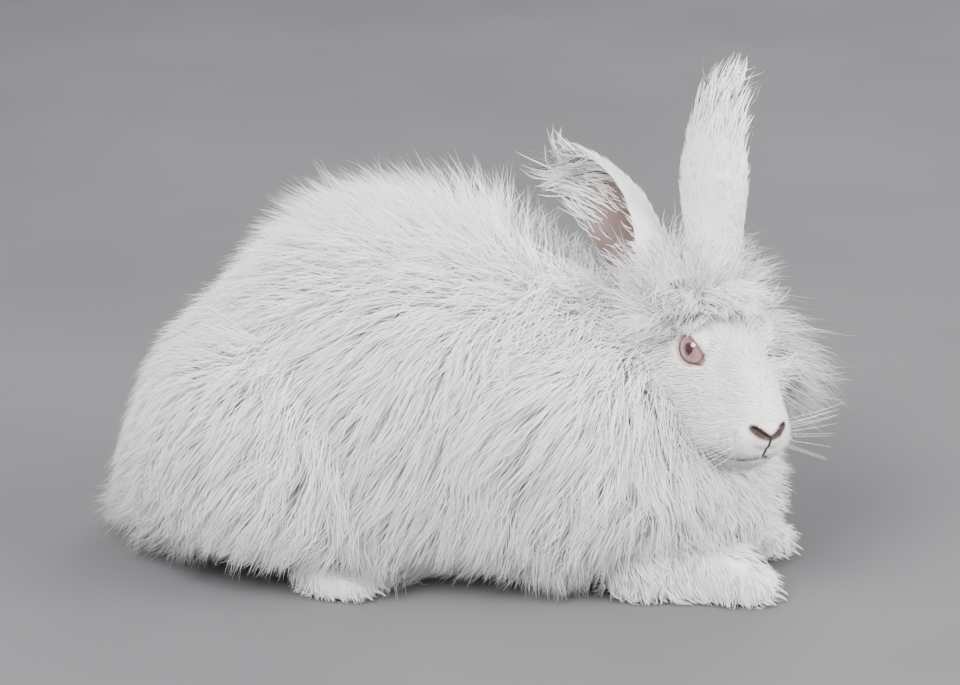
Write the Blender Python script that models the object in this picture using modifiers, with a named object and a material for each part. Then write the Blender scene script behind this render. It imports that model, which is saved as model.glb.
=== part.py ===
"""Angora rabbit, life size, crouching on the floor with its head turned to its right.

Metres, +Z up. The body lies along +X with the nose end at +X, and its left side is +Y. Every sub-part is
one closed mesh object. Bodies are lofts through named sections; the long wool is made of flat, tapered
locks that are rooted in those bodies, fused with them, and cut 0.3 mm clear of the neighbours.
"""

import math
import random

import bmesh
import bpy
from mathutils import Matrix, Vector
from mathutils.bvhtree import BVHTree

MM = 0.001
SEED = 1907
GAP = 0.35 * MM
CURVE_WELD = 0.02 * MM
SHARP_ANGLE = math.radians(40)
ROOT_TRIES = 40
SLIVERS = tuple(size * MM for size in (0.1, 0.06, 0.03, 0.01, 0.003, 0))

# Trunk sections, in mm: place along X, middle Y, top Z, bottom Z, half width.
TORSO_SECTIONS = [
    (-183, 0, 92, 14, 40),
    (-168, 0, 124, 3, 62),
    (-143, 0, 150, -4, 76),
    (-108, 0, 180, -9, 83),
    (-70, 0, 194, -9, 86),
    (-30, 0, 198, -9, 85),
    (4, 0, 191, -7, 80),
    (28, 0, 176, 2, 68),
    (42, 0, 150, 20, 50),
]
TORSO_ENDS = ((-189, 0, 52), (52, 0, 88))
NECK_SECTIONS = [
    (24, 0, 179, 2, 70),
    (40, 0, 177, 2, 73),
    (62, 0, 168, 2, 72),
    (90, 0, 150, 4, 67),
    (116, -3, 123, 10, 58),
    (138, -6, 98, 18, 45),
    (152, -8, 78, 28, 30),
]
NECK_ENDS = ((12, 0, 92), (160, -8, 52))
TRUNK_SQUARENESS = 2.25
TRUNK_SIDES = 20
TRUNK_NARROWING = 0.08

# The head's own frame: forward, left and up from the point midway between the eyes.
HEAD_PLACE = Vector((140, -30, 145)) * MM
HEAD_YAW = math.radians(-50)
HEAD_ROLL = math.radians(-4)
# Head sections, in mm: top (forward, up), bottom (forward, up), half width, narrowing of the upper half.
HEAD_SECTIONS = [
    ((49.5, -31), (47.5, -46), 9.5, 0.05),
    ((46.5, -24), (44.5, -52), 15, 0.1),
    ((40.5, -15), (38, -58), 18.5, 0.18),
    ((32, -5), (28.5, -61), 20.5, 0.22),
    ((21, 4), (17, -61), 23.5, 0.2),
    ((9, 11.5), (5, -57), 26.5, 0.14),
    ((-4, 17.5), (-8, -51), 28.8, 0.08),
    ((-18, 23), (-22, -47), 29.5, 0.06),
    ((-33, 24.5), (-37, -41), 27.5, 0.05),
    ((-47, 19), (-50, -32), 22, 0),
    ((-56, 9), (-58, -20), 13, 0),
]
HEAD_ENDS = ((51, 0, -38.5), (-60, 0, -5))
HEAD_SIDES = 20
HEAD_SQUARENESS = 2.15

# The mouth on the left side: station along the head's sections, and degrees round from the top.
MOUTH_LINE = [(1.05, 180), (1.3, 160), (1.75, 146), (2.3, 138), (3.0, 133), (3.6, 131)]
# Lines that start at the tip of the nose, as points in the head's frame that are laid on its surface.
NOSTRIL_LINE = [
    (51.2, 0.3, -40),
    (50.6, 3.5, -38.6),
    (49, 7, -36.2),
    (46.6, 10.2, -33.6),
    (43.5, 12.6, -32),
]
PHILTRUM_LINE = [(51, 0, -40), (50.2, 0, -43.5), (48.6, 0, -47.5), (45, 0, -52)]
# Radii of the beads along them, in mm.
MOUTH_BEAD = (0.7, 0.9, 1, 1, 0.9, 0.6)
LIP_BEAD = (0.6, 1.7, 1.8, 0.8)
NOSTRIL_BEAD = (0.7, 1.0, 1.5, 1.3, 0.5)
PHILTRUM_BEAD = (0.5, 0.7, 0.7, 0.6)

EYE_PLACE = (0.5, 16.2, 0)
EYE_RADIUS = 9.6
LID_THICKNESS = 1.5
EYE_AIM = Vector((0.34, 0.93, 0.1)).normalized()
EYE_SLIT = (19.0, 14.0)
EYE_SLIT_TILT = math.radians(32)
EYE_SLIT_DEPTH = 12
# No cheek wool is rooted nearer to the middle of an eye than this.
EYE_CLEAR = 17

# Ears: base in the head's frame, tip and open side in the body's frame.
EAR_LENGTH = 112
EAR_BASES = {"left": Vector((-36, 11.5, 16)), "right": Vector((-36, -11.5, 16))}
EAR_AIMS = {"left": Vector((0.05, 0.15, 0.99)), "right": Vector((-0.66, 0.62, 0.39))}
EAR_OPENINGS = {"left": Vector((0.5, 0.87, 0.0)), "right": Vector((-0.70, -0.69, -0.10))}
EAR_BENDS = {"left": Vector((0.10, -0.02, 0)), "right": Vector((-0.03, 0.05, 0.05))}
# Share of the ear's length, radius in mm, half the angle that the cup wraps in degrees.
EAR_SECTIONS = [
    (0.0, 10.5, 156),
    (0.1, 11.5, 150),
    (0.2, 14.0, 128),
    (0.34, 18.5, 100),
    (0.5, 22.0, 84),
    (0.66, 22.5, 76),
    (0.8, 20.5, 68),
    (0.91, 15.5, 58),
    (0.98, 8.0, 50),
]
EAR_WALL = 1.8 * MM
# Tufts on the rim of the ear: share of its length, and degrees round its back.
EAR_TUFTS = [(0.82, -52), (0.93, -34), (0.97, -10), (0.965, 14), (0.91, 38), (0.8, 54)]

# Forelegs, for the left side: X, middle Y, top Z, half width.
FORELEG_SECTIONS = [
    (84, 38, 34, 13),
    (98, 38, 40, 16.5),
    (116, 36, 37, 16),
    (133, 34.5, 33, 16),
    (148, 34, 31, 17.5),
    (158, 34, 26, 17),
]
FORELEG_ENDS = ((78, 38, 16), (164, 34, 10))
FORE_TOES = [(155, 22), (160.5, 29.5), (161, 38), (156, 46)]
FORE_TOE_RADII = Vector((13, 5, 9.5)) * MM

# Hind legs, for the left side: the haunch as an ellipsoid, and the foot's sections as for the foreleg.
HAUNCH_PLACE = Vector((-106, 61, 74)) * MM
HAUNCH_RADII = Vector((70, 37, 72)) * MM
FOOT_SECTIONS = [
    (-150, 64, 28, 12),
    (-138, 66, 26, 13.5),
    (-112, 70, 22, 14),
    (-86, 72, 20, 15.5),
    (-66, 73, 19, 16.5),
    (-56, 73, 16, 15),
]
FOOT_ENDS = ((-156, 63, 12), (-50, 73, 7))
HIND_TOES = [(-56.5, 62), (-52, 69.5), (-52.5, 77), (-58, 84)]
HIND_TOE_RADII = Vector((12, 4.6, 7.4)) * MM
FOOT_SIDES = 12
FOOT_SQUARENESS = 2.3

TAIL_PLACE = Vector((-189, 0, 38)) * MM
TAIL_RADII = Vector((20, 17, 24)) * MM

# Wool by region: spacing of the roots, length, half width, half thickness and depth of the roots, in mm, and
# how steeply it stands. A lock's sections are its share of the length, of the width and of the thickness.
WOOL = {
    "torso": dict(spacing=33.2, length=62, width=14, thick=5.5, sunk=8, stand=0.66, low=11),
    "haunch": dict(spacing=30.5, length=56, width=13, thick=5.2, sunk=8, stand=0.66, low=16),
    "neck": dict(spacing=28.5, length=56, width=12.5, thick=5, sunk=7, stand=0.66, low=9),
    "crown": dict(spacing=12.4, length=48, width=6.5, thick=3.2, sunk=5, stand=1.15),
    "cheek": dict(spacing=15, length=58, width=8.5, thick=3.4, sunk=5, stand=1.9),
    "tail": dict(spacing=18, length=34, width=9.5, thick=4.2, sunk=6, stand=0.9),
    "ear": dict(length=24, width=4.8, thick=1.8, sunk=4),
}
LOCK_SECTIONS = ((0.0, 0.75, 1.0), (0.36, 1.0, 1.0), (0.65, 0.8, 0.75), (0.86, 0.42, 0.4))

PROBE = Vector((0.31, 0.2, 0.93)).normalized()
rng = random.Random(SEED)
rooms = {}


def clear_scene():
    for item in list(bpy.data.objects):
        bpy.data.objects.remove(item)


def new_collection(name):
    made = bpy.data.collections.new(name)
    bpy.context.scene.collection.children.link(made)
    return made


def new_material(name, colour, roughness):
    made = bpy.data.materials.new(name)
    made.use_nodes = True
    shader = made.node_tree.nodes["Principled BSDF"]
    shader.inputs["Base Color"].default_value = (*colour, 1)
    shader.inputs["Roughness"].default_value = roughness
    shader.inputs["Metallic"].default_value = 0
    return made


def mesh_object(name, bm, collection, material=None):
    bmesh.ops.recalc_face_normals(bm, faces=bm.faces)
    mesh = bpy.data.meshes.new(name)
    bm.to_mesh(mesh)
    bm.free()
    made = bpy.data.objects.new(name, mesh)
    collection.objects.link(made)
    if material:
        mesh.materials.append(material)
    return made


def egg_ring(centre, rise, side, narrowing, squareness, count):
    """Points of one cross-section, from its top round by the left side. The upper half is narrowed."""
    points = []
    for k in range(count):
        angle = math.tau * k / count
        up, out = math.cos(angle), math.sin(angle)
        up = math.copysign(abs(up) ** (2 / squareness), up)
        out = math.copysign(abs(out) ** (2 / squareness), out)
        points.append(centre + rise * up + side * out * (1 - narrowing * up))
    return points


def on_curve(p, q, r, u, t):
    """The value at a share of the way from q to r, on the smooth curve through all four."""
    return 0.5 * (2 * q + (r - p) * t + (2 * p - 5 * q + 4 * r - u) * t**2 + (3 * q - p - 3 * r + u) * t**3)


def between(rows, steps):
    """More rows between the given ones, on a smooth curve through them."""
    dense = []
    for i in range(len(rows) - 1):
        four = [rows[max(0, min(len(rows) - 1, i + k))] for k in (-1, 0, 1, 2)]
        dense += [[on_curve(*values, s / steps) for values in zip(*four)] for s in range(steps)]
    dense.append(list(rows[-1]))
    return dense


def loft(name, rings, ends, collection, material, floor=True):
    """A closed body through rings of points, with a pole at each end, pressed flat on the floor."""
    bm = bmesh.new()
    layers = [[bm.verts.new(p) for p in ring] for ring in rings]
    first, last = (bm.verts.new(p) for p in ends)
    count = len(rings[0])
    for a, b in zip(layers, layers[1:]):
        for k in range(count):
            n = (k + 1) % count
            bm.faces.new((a[k], a[n], b[n], b[k]))
    for k in range(count):
        n = (k + 1) % count
        bm.faces.new((first, layers[0][n], layers[0][k]))
        bm.faces.new((last, layers[-1][k], layers[-1][n]))
    if floor:
        for vert in bm.verts:
            vert.co.z = max(vert.co.z, 0)
    return mesh_object(name, bm, collection, material)


def trunk_loft(name, sections, ends, steps, collection, material):
    rings = []
    for x, y, top, bottom, half in between(sections, steps):
        centre = Vector((x, y, (top + bottom) / 2)) * MM
        rise = Vector((0, 0, (top - bottom) / 2)) * MM
        side = Vector((0, half, 0)) * MM
        rings.append(egg_ring(centre, rise, side, TRUNK_NARROWING, TRUNK_SQUARENESS, TRUNK_SIDES))
    return loft(name, rings, [Vector(p) * MM for p in ends], collection, material)


def limb_loft(name, sections, ends, side, collection, material):
    """A limb that lies flat on the floor. side is 1 for the left, -1 for the right."""
    rings = []
    for x, y, top, half in between(sections, 2):
        centre = Vector((x, side * y, top * 0.42)) * MM
        rise = Vector((0, 0, top * 0.58)) * MM
        rings.append(egg_ring(centre, rise, Vector((0, half, 0)) * MM, 0.12, FOOT_SQUARENESS, FOOT_SIDES))
    ends = [Vector((x, side * y, z)) * MM for x, y, z in ends]
    return loft(name, rings, ends, collection, material)


def head_matrix():
    turn = Matrix.Rotation(HEAD_YAW, 4, "Z") @ Matrix.Rotation(HEAD_ROLL, 4, "X")
    return Matrix.Translation(HEAD_PLACE) @ turn


def head_ring(station, count):
    """One cross-section of the head at a place along HEAD_SECTIONS, as points in the head's frame."""
    rows = [(*top, *bottom, half, narrow) for top, bottom, half, narrow in HEAD_SECTIONS]
    dense = between(rows, 10)
    f_top, u_top, f_low, u_low, half, narrow = dense[round(station * 10)]
    centre = Vector(((f_top + f_low) / 2, 0, (u_top + u_low) / 2)) * MM
    rise = Vector(((f_top - f_low) / 2, 0, (u_top - u_low) / 2)) * MM
    return egg_ring(centre, rise, Vector((0, half, 0)) * MM, narrow, HEAD_SQUARENESS, count)


def on_head(station, degrees):
    """A point of the head's surface: degrees run from the top round by the left side."""
    ring = head_ring(station, 360)
    return ring[round(degrees) % 360]


def ellipsoid(name, place, radii, segments, rings, collection, material=None, turn=None):
    matrix = Matrix.Translation(place) @ (turn or Matrix.Identity(4)) @ Matrix.Diagonal((*radii, 1))
    layers = []
    for row in range(1, rings):
        wide, high = math.sin(math.pi * row / rings), -math.cos(math.pi * row / rings)
        angles = [math.tau * k / segments for k in range(segments)]
        layers.append([matrix @ Vector((wide * math.cos(a), wide * math.sin(a), high)) for a in angles])
    poles = [matrix @ Vector((0, 0, -1)), matrix @ Vector((0, 0, 1))]
    return loft(name, layers, poles, collection, material, floor=False)


def press_flat(made):
    for vert in made.data.vertices:
        vert.co.z = max(vert.co.z, 0)


def baked(made):
    """Applies an object's modifiers and its placing to its own mesh."""
    graph = bpy.context.evaluated_depsgraph_get()
    mesh = bpy.data.meshes.new_from_object(made.evaluated_get(graph))
    mesh.transform(made.matrix_world)
    made.modifiers.clear()
    made.data = mesh
    made.matrix_world = Matrix.Identity(4)
    return made


def as_mesh(curve, collection):
    """A mesh object in place of a curve, with its caps welded on."""
    graph = bpy.context.evaluated_depsgraph_get()
    mesh = bpy.data.meshes.new_from_object(curve.evaluated_get(graph))
    mesh.transform(curve.matrix_world)
    bm = bmesh.new()
    bm.from_mesh(mesh)
    bmesh.ops.remove_doubles(bm, verts=bm.verts, dist=CURVE_WELD)
    name = curve.name
    bpy.data.objects.remove(curve)
    return mesh_object(name, bm, collection)


def tube(name, points, radii, collection):
    """A round bead along a line of points, with a radius at each."""
    data = bpy.data.curves.new(name, "CURVE")
    data.dimensions = "3D"
    data.bevel_depth = MM
    data.bevel_resolution = 1
    data.use_fill_caps = True
    line = data.splines.new("POLY")
    line.points.add(len(points) - 1)
    for knot, point, radius in zip(line.points, points, radii):
        knot.co = (*point, 1)
        knot.radius = radius
    made = bpy.data.objects.new(name, data)
    collection.objects.link(made)
    bpy.context.view_layer.update()
    return as_mesh(made, collection)


def combine(body, collection, operation):
    """One Boolean of a body with all the meshes in a collection, which are then removed."""
    if not collection.objects:
        return body
    boolean = body.modifiers.new("combine", "BOOLEAN")
    boolean.operation = operation
    boolean.operand_type = "COLLECTION"
    boolean.collection = collection
    boolean.solver = "MANIFOLD"
    bpy.context.view_layer.update()
    baked(body)
    for piece in list(collection.objects):
        bpy.data.objects.remove(piece)
    return largest_surface(without_slivers(body))


def without_slivers(body):
    """Takes out the hair-thin faces that a Boolean leaves, as coarsely as leaves the surface closed."""
    for size in SLIVERS:
        bm = bmesh.new()
        bm.from_mesh(body.data)
        bmesh.ops.triangulate(bm, faces=bm.faces)
        bmesh.ops.remove_doubles(bm, verts=bm.verts, dist=size)
        bmesh.ops.dissolve_degenerate(bm, edges=bm.edges, dist=size)
        bmesh.ops.triangulate(bm, faces=bm.faces)
        closed = all(edge.is_manifold for edge in bm.edges)
        if closed:
            bm.to_mesh(body.data)
        bm.free()
        if closed:
            break
    return body


def largest_surface(body):
    """Keeps the closed surface that holds most, so that sealed hollows fill and loose scraps go."""
    bm = bmesh.new()
    bm.from_mesh(body.data)
    bm.faces.ensure_lookup_table()
    seen, shells = set(), []
    for start in bm.faces:
        if start.index in seen:
            continue
        shell, waiting = [], [start]
        seen.add(start.index)
        while waiting:
            face = waiting.pop()
            shell.append(face)
            for edge in face.edges:
                for other in edge.link_faces:
                    if other.index not in seen:
                        seen.add(other.index)
                        waiting.append(other)
        shells.append(shell)

    def volume(shell):
        total = 0
        for face in shell:
            first = face.verts[0].co
            for a, b in zip(face.verts[1:], face.verts[2:]):
                total += first.dot(a.co.cross(b.co))
        return total

    keep = max(shells, key=volume)
    drop = [face for shell in shells if shell is not keep for face in shell]
    bmesh.ops.delete(bm, geom=drop, context="FACES")
    bm.to_mesh(body.data)
    bm.free()
    return body


def body_room(body, collection, gap=GAP):
    """Takes the room of a body without its wool, which is the body swollen by the gap."""
    made = bpy.data.objects.new("room", body.data.copy())
    collection.objects.link(made)
    swell = made.modifiers.new("swell", "DISPLACE")
    swell.strength = gap
    swell.mid_level = 0
    bpy.context.view_layer.update()
    take_room(body, baked(made))


def cut_clear(body, neighbours, collection):
    """Cuts a body clear of its neighbours' rooms."""
    for neighbour in neighbours:
        for mesh in (neighbour.data, *rooms[neighbour.name]):
            collection.objects.link(bpy.data.objects.new("room", mesh))
    return combine(body, collection, "DIFFERENCE")


def core_tree(body):
    """The search tree of a body that is made for no other use."""
    tree = tree_of(body)
    bpy.data.objects.remove(body)
    return tree


def tree_of(body):
    bm = bmesh.new()
    bm.from_mesh(body.data)
    bmesh.ops.triangulate(bm, faces=bm.faces)
    tree = BVHTree.FromBMesh(bm)
    bm.free()
    return tree


def inside(tree, point):
    """Whether a point lies in a closed body, by how often a ray from it crosses the surface."""
    hits, start = 0, point
    while True:
        spot = tree.ray_cast(start, PROBE)[0]
        if spot is None:
            return hits % 2 == 1
        hits += 1
        start = spot + PROBE * 0.01 * MM


def near(tree, point, margin):
    """Whether a point lies within a margin of a surface."""
    return margin > 0 and tree.find_nearest(point)[3] < margin * MM


def meets(tree, point, margin):
    return inside(tree, point) or near(tree, point, margin)


def spread_roots(body, region, accepted):
    """Evenly spread places on a plain body: (point, normal) pairs no nearer to one another than the spacing."""
    rng.seed(f"{SEED} {body.name} {region}")
    spacing = WOOL[region]["spacing"] * MM
    bm = bmesh.new()
    bm.from_mesh(body.data)
    bmesh.ops.triangulate(bm, faces=bm.faces)
    areas = [face.calc_area() for face in bm.faces]
    corners = [[v.co.copy() for v in face.verts] for face in bm.faces]
    normals = [face.normal.copy() for face in bm.faces]
    bm.free()
    tries = int(ROOT_TRIES * sum(areas) / spacing**2)
    roots = []
    for k in rng.choices(range(len(areas)), areas, k=tries):
        a, b = sorted((rng.random(), rng.random()))
        p, q, r = corners[k]
        point = p * a + q * (b - a) + r * (1 - b)
        if all((point - other).length > spacing for other, _ in roots) and accepted(point, normals[k]):
            roots.append((point, normals[k]))
    return roots


def lock_path(root, normal, lie, size, droop):
    """Start, knee and tip of a lock: it leaves the skin along the normal and bends over along its lie."""
    length = size["length"] * rng.uniform(0.85, 1.18) * MM
    stand = size["stand"] * rng.uniform(0.85, 1.15)
    lie = (lie - normal * lie.dot(normal)).normalized()
    first = (normal * stand + lie * 0.5).normalized()
    last = (normal * stand * 0.4 + lie + Vector((0, 0, -droop))).normalized()
    start = root - normal * size["sunk"] * MM
    knee = start + first * length * 0.55
    return start, knee, knee + last * length * 0.6


def on_path(path, share):
    start, knee, tip = path
    return start * (1 - share) ** 2 + knee * 2 * share * (1 - share) + tip * share**2


def lock_mesh(path, normal, width, thick, low, room=0.0):
    """One lock along a path, with a ridge along its upper side, larger all round by the given room."""
    start, knee, tip = path
    bm = bmesh.new()
    rings = []
    for share, wide, deep in LOCK_SECTIONS:
        middle = on_path(path, share)
        along = ((knee - start) * (1 - share) + (tip - knee) * share).normalized()
        across = along.cross(normal).normalized()
        over = across.cross(along).normalized()
        middle.z = max(middle.z, thick * deep + low)
        side = across * (width * wide + 5 * room) - over * room
        other = side - 2 * side.dot(across) * across
        ring = [middle + side, middle + over * (thick * deep + 1.5 * room), middle + other]
        for point in ring:
            point.z = max(point.z, low - room)
        rings.append([bm.verts.new(point) for point in ring])
    end = tip + (tip - knee).normalized() * 4 * room
    end.z = max(end.z, low)
    point = bm.verts.new(end)
    for a, b in zip(rings, rings[1:]):
        for k in range(3):
            bm.faces.new((a[k], a[(k + 1) % 3], b[(k + 1) % 3], b[k]))
    for k in range(3):
        bm.faces.new((rings[-1][k], rings[-1][(k + 1) % 3], point))
    bm.faces.new(reversed(rings[0]))
    bmesh.ops.triangulate(bm, faces=bm.faces)
    return bm


def lock(body, path, normal, size, collection):
    """Adds a lock to the pieces that will be fused to a body, and its room to the body's rooms."""
    width = size["width"] * rng.uniform(0.88, 1.12) * MM
    thick = size["thick"] * MM
    low = size.get("low", 1) * MM
    mesh_object("lock", lock_mesh(path, normal, width, thick, low), collection)
    take_room(body, mesh_object("room", lock_mesh(path, normal, width, thick, low, GAP), collection))


def take_room(body, made):
    """Keeps a mesh as one of the spaces that a body's neighbours stay out of."""
    rooms.setdefault(body.name, []).append(made.data)
    bpy.data.objects.remove(made)


def wool(body, region, roots, lie_of, collection, off=(), droop=0.3):
    """Covers a body with locks and fuses them to it. off holds (tree, margin) pairs of neighbours."""
    size = WOOL[region]
    rng.seed(f"{SEED} {body.name} {region} locks")
    for root, normal in roots:
        path = lock_path(root, normal, lie_of(root, normal), size, droop)
        course = [on_path(path, k / 8) for k in range(2, 9)]
        if any(meets(tree, point, margin) for tree, margin in off for point in course):
            continue
        lock(body, path, normal, size, collection)
    return combine(body, collection, "UNION")


def make_torso(parts, tools, material, off):
    made = trunk_loft("torso", TORSO_SECTIONS, TORSO_ENDS, 2, parts, material)

    def accepted(point, normal):
        return point.z > 16 * MM and point.x < 22 * MM and normal.z > -0.55

    def lie_of(point, normal):
        return Vector((-0.42 - 0.25 * (1 - abs(normal.z)), 0, -0.15 - 0.75 * (1 - abs(normal.z))))

    return wool(made, "torso", spread_roots(made, "torso", accepted), lie_of, tools, off)


def make_neck(parts, tools, material, off):
    made = trunk_loft("neck", NECK_SECTIONS, NECK_ENDS, 2, parts, material)
    body_room(made, tools)

    def accepted(point, normal):
        return point.z > 16 * MM and point.x > 30 * MM and normal.z > -0.6

    def lie_of(point, normal):
        front = max(0, normal.x)
        return Vector((-0.55 + 1.1 * front, 0.35 * normal.y, -0.25 - 0.6 * (1 - max(0, normal.z))))

    return wool(made, "neck", spread_roots(made, "neck", accepted), lie_of, tools, off)


def almond(name, matrix, size, depth, collection):
    """A cutter whose outline is the gap between the lids, pointed at the corner next to the nose."""
    bm = bmesh.new()
    bmesh.ops.create_cone(bm, cap_ends=True, segments=16, radius1=0.5, radius2=0.5, depth=depth)
    for vert in bm.verts:
        point = max(0, vert.co.x) * 2
        vert.co.x *= size[0] * MM * (1 + 0.18 * point**4)
        vert.co.y *= size[1] * MM * (1 - 0.3 * point**2)
    bmesh.ops.transform(bm, matrix=matrix, verts=bm.verts)
    return mesh_object(name, bm, collection)


def eye_matrix(side):
    """The eye's frame in the head's: +Z looks out of the eye, +X runs to the corner next to the nose."""
    aim = Vector((EYE_AIM.x, side * EYE_AIM.y, EYE_AIM.z))
    front = Vector((1, 0, 0)) - aim * aim.x
    front = (Matrix.Rotation(side * EYE_SLIT_TILT, 3, aim) @ front.normalized()).normalized()
    up = aim.cross(front)
    turn = Matrix((front, up, aim)).transposed().to_4x4()
    place = Vector((EYE_PLACE[0], side * EYE_PLACE[1], EYE_PLACE[2])) * MM
    return Matrix.Translation(place) @ turn


def make_eye(side, word, parts, tools, material):
    radius = EYE_RADIUS * MM
    made = ellipsoid(f"eye_{word}", (0, 0, 0), (radius,) * 3, 16, 10, parts, material)
    for vert in made.data.vertices:
        dome = max(0, vert.co.z / radius - 0.75)
        vert.co.z += dome * 3.2 * MM
    made.data.transform(head_matrix() @ eye_matrix(side))
    body_room(made, tools)
    return made


def mouth_points(side):
    """Points of the mouth's line on the head's surface, and of the line a little above it, for the lip."""
    line = [(station, degrees if side > 0 else 360 - degrees) for station, degrees in MOUTH_LINE]
    mouth = [on_head(station, degrees) for station, degrees in between(line, 2)]
    lip = [(station + 0.02, degrees - math.copysign(9, degrees - 180.5)) for station, degrees in line[1:-1]]
    return mouth, [on_head(station, degrees) for station, degrees in between(lip, 2)]


def laid_on(tree, knots, side=1):
    """Points of a line, given on the left, brought to the nearest point of a surface."""
    dense = between([(x, side * y, z) for x, y, z in knots], 2)
    return [tree.find_nearest(Vector(point) * MM)[0] for point in dense]


def face_bead(name, points, radii, inset, collection):
    """A bead along points of the head's surface, a little below them."""
    centre = Vector((HEAD_SECTIONS[1][0][0] - 12, 0, -38)) * MM
    sunk = [point + (centre - point).normalized() * inset * MM for point in points]
    sizes = [radius for (radius,) in between([(r,) for r in radii], 2)]
    stations = [k * (len(sizes) - 1) / (len(points) - 1) for k in range(len(points))]
    return tube(name, sunk, [sizes[round(station)] for station in stations], collection)


def add_lids_and_lips(made, tools):
    """Adds the lids and the upper lips to the head's form, and cuts the slits, the mouth and the nostrils."""
    surface = tree_of(made)
    lid = (EYE_RADIUS + LID_THICKNESS) * MM
    for side in (1, -1):
        matrix = eye_matrix(side)
        ellipsoid("lid", matrix.translation, (lid,) * 3, 16, 10, tools, turn=matrix.to_3x3().to_4x4())
        face_bead("upper_lip", mouth_points(side)[1], LIP_BEAD, 0.6, tools)
    combine(made, tools, "UNION")
    for side in (1, -1):
        out = Matrix.Translation((0, 0, (EYE_RADIUS + 1) * MM))
        almond("slit", eye_matrix(side) @ out, EYE_SLIT, EYE_SLIT_DEPTH * MM, tools)
        face_bead("mouth", mouth_points(side)[0], MOUTH_BEAD, 0.1, tools)
        face_bead("nostril", laid_on(surface, NOSTRIL_LINE, side), NOSTRIL_BEAD, 0.2, tools)
    face_bead("philtrum", laid_on(surface, PHILTRUM_LINE), PHILTRUM_BEAD, 0.1, tools)
    combine(made, tools, "DIFFERENCE")


def on_crown(point, normal):
    place = point / MM
    return place.x < -11 and place.z > 3


def on_cheek(point, normal):
    place = point / MM
    beside = place.x < 6 - 0.35 * abs(place.z) and -42 < place.z < 6 and abs(place.y) > 17
    eye = Vector((EYE_PLACE[0], math.copysign(EYE_PLACE[1], place.y), EYE_PLACE[2]))
    return beside and (place - eye).length > EYE_CLEAR


def from_head(roots):
    """Roots in the head's own frame, taken to the body's frame."""
    matrix = head_matrix()
    return [(matrix @ point, matrix.to_3x3() @ normal) for point, normal in roots]


def make_head(parts, tools, material, eyes, off):
    rings = [head_ring(k, HEAD_SIDES) for k in range(len(HEAD_SECTIONS))]
    made = loft("head", rings, [Vector(p) * MM for p in HEAD_ENDS], parts, material, floor=False)
    crown = spread_roots(made, "crown", on_crown)
    cheek = spread_roots(made, "cheek", on_cheek)
    add_lids_and_lips(made, tools)
    made.data.transform(head_matrix())
    body_room(made, tools)

    def combed(forward, out, up):
        turn = head_matrix().to_3x3()
        into_head = head_matrix().inverted()
        return lambda point, normal: turn @ Vector((forward, math.copysign(out, (into_head @ point).y), up))

    wool(made, "crown", from_head(crown), combed(0.15, 0.5, 0.5), tools, off, droop=0)
    wool(made, "cheek", from_head(cheek), combed(-0.12, 0.5, -0.25), tools, off, droop=0.1)
    return cut_clear(made, eyes, tools)


def ear_frame(word):
    """Base point, axis, open direction and width direction of an ear, in the body's frame."""
    base = head_matrix() @ (EAR_BASES[word] * MM)
    axis = EAR_AIMS[word].normalized()
    opening = EAR_OPENINGS[word] - axis * EAR_OPENINGS[word].dot(axis)
    opening.normalize()
    return base, axis, opening, axis.cross(opening)


def ear_point(word, share, radius, degrees):
    base, axis, opening, width = ear_frame(word)
    length = EAR_LENGTH * MM
    spine = base + axis * length * share + EAR_BENDS[word] * length * share**2
    angle = math.radians(degrees)
    return spine + (-opening * math.cos(angle) + width * math.sin(angle)) * radius * MM


def make_ear(word, parts, tools, material, across=8):
    """The ear as a rolled sheet: nearly a tube at its base and an open cup above it."""
    bm = bmesh.new()
    rows = []
    for share, radius, wrap in EAR_SECTIONS:
        line = [ear_point(word, share, radius, wrap * (2 * k / across - 1)) for k in range(across + 1)]
        rows.append([bm.verts.new(point) for point in line])
    tip = bm.verts.new(ear_point(word, 1.0, 1.0, 0))
    for a, b in zip(rows, rows[1:]):
        for k in range(across):
            bm.faces.new((a[k], a[k + 1], b[k + 1], b[k]))
    for k in range(across):
        bm.faces.new((rows[-1][k], rows[-1][k + 1], tip))
    bmesh.ops.triangulate(bm, faces=bm.faces)
    made = mesh_object(f"ear_{word}", bm, parts, material)
    wall = made.modifiers.new("wall", "SOLIDIFY")
    wall.thickness = EAR_WALL
    wall.offset = 0
    wall.use_even_offset = True
    bpy.context.view_layer.update()
    baked(made)
    body_room(made, tools, 2 * GAP)
    size = WOOL["ear"]
    rng.seed(f"{SEED} {made.name}")
    axis, opening, width = ear_frame(word)[1:]
    for share, degrees in EAR_TUFTS:
        radius = [row[1] for row in between(EAR_SECTIONS, 8) if row[0] >= share][0]
        root = ear_point(word, share, radius, degrees)
        outward = width * math.copysign(1, degrees)
        aim = (axis + outward * abs(degrees) / 60 * 0.5 - opening * 0.12).normalized()
        length = size["length"] * rng.uniform(0.8, 1.25) * MM
        bend = (aim + outward * 0.1 - opening * rng.uniform(-0.1, 0.25)).normalized()
        start = root - aim * size["sunk"] * MM
        path = (start, start + aim * length * 0.5, start + aim * length * 0.5 + bend * length * 0.55)
        lock(made, path, opening, size, tools)
    return combine(made, tools, "UNION")


def make_foreleg(side, word, parts, tools, material):
    made = limb_loft(f"foreleg_{word}", FORELEG_SECTIONS, FORELEG_ENDS, side, parts, material)
    for x, y in FORE_TOES:
        place = Vector((x * MM, side * y * MM, FORE_TOE_RADII.z - 0.5 * MM))
        press_flat(ellipsoid("toe", place, FORE_TOE_RADII, 8, 6, tools))
    combine(made, tools, "UNION")
    body_room(made, tools)
    return made


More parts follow.
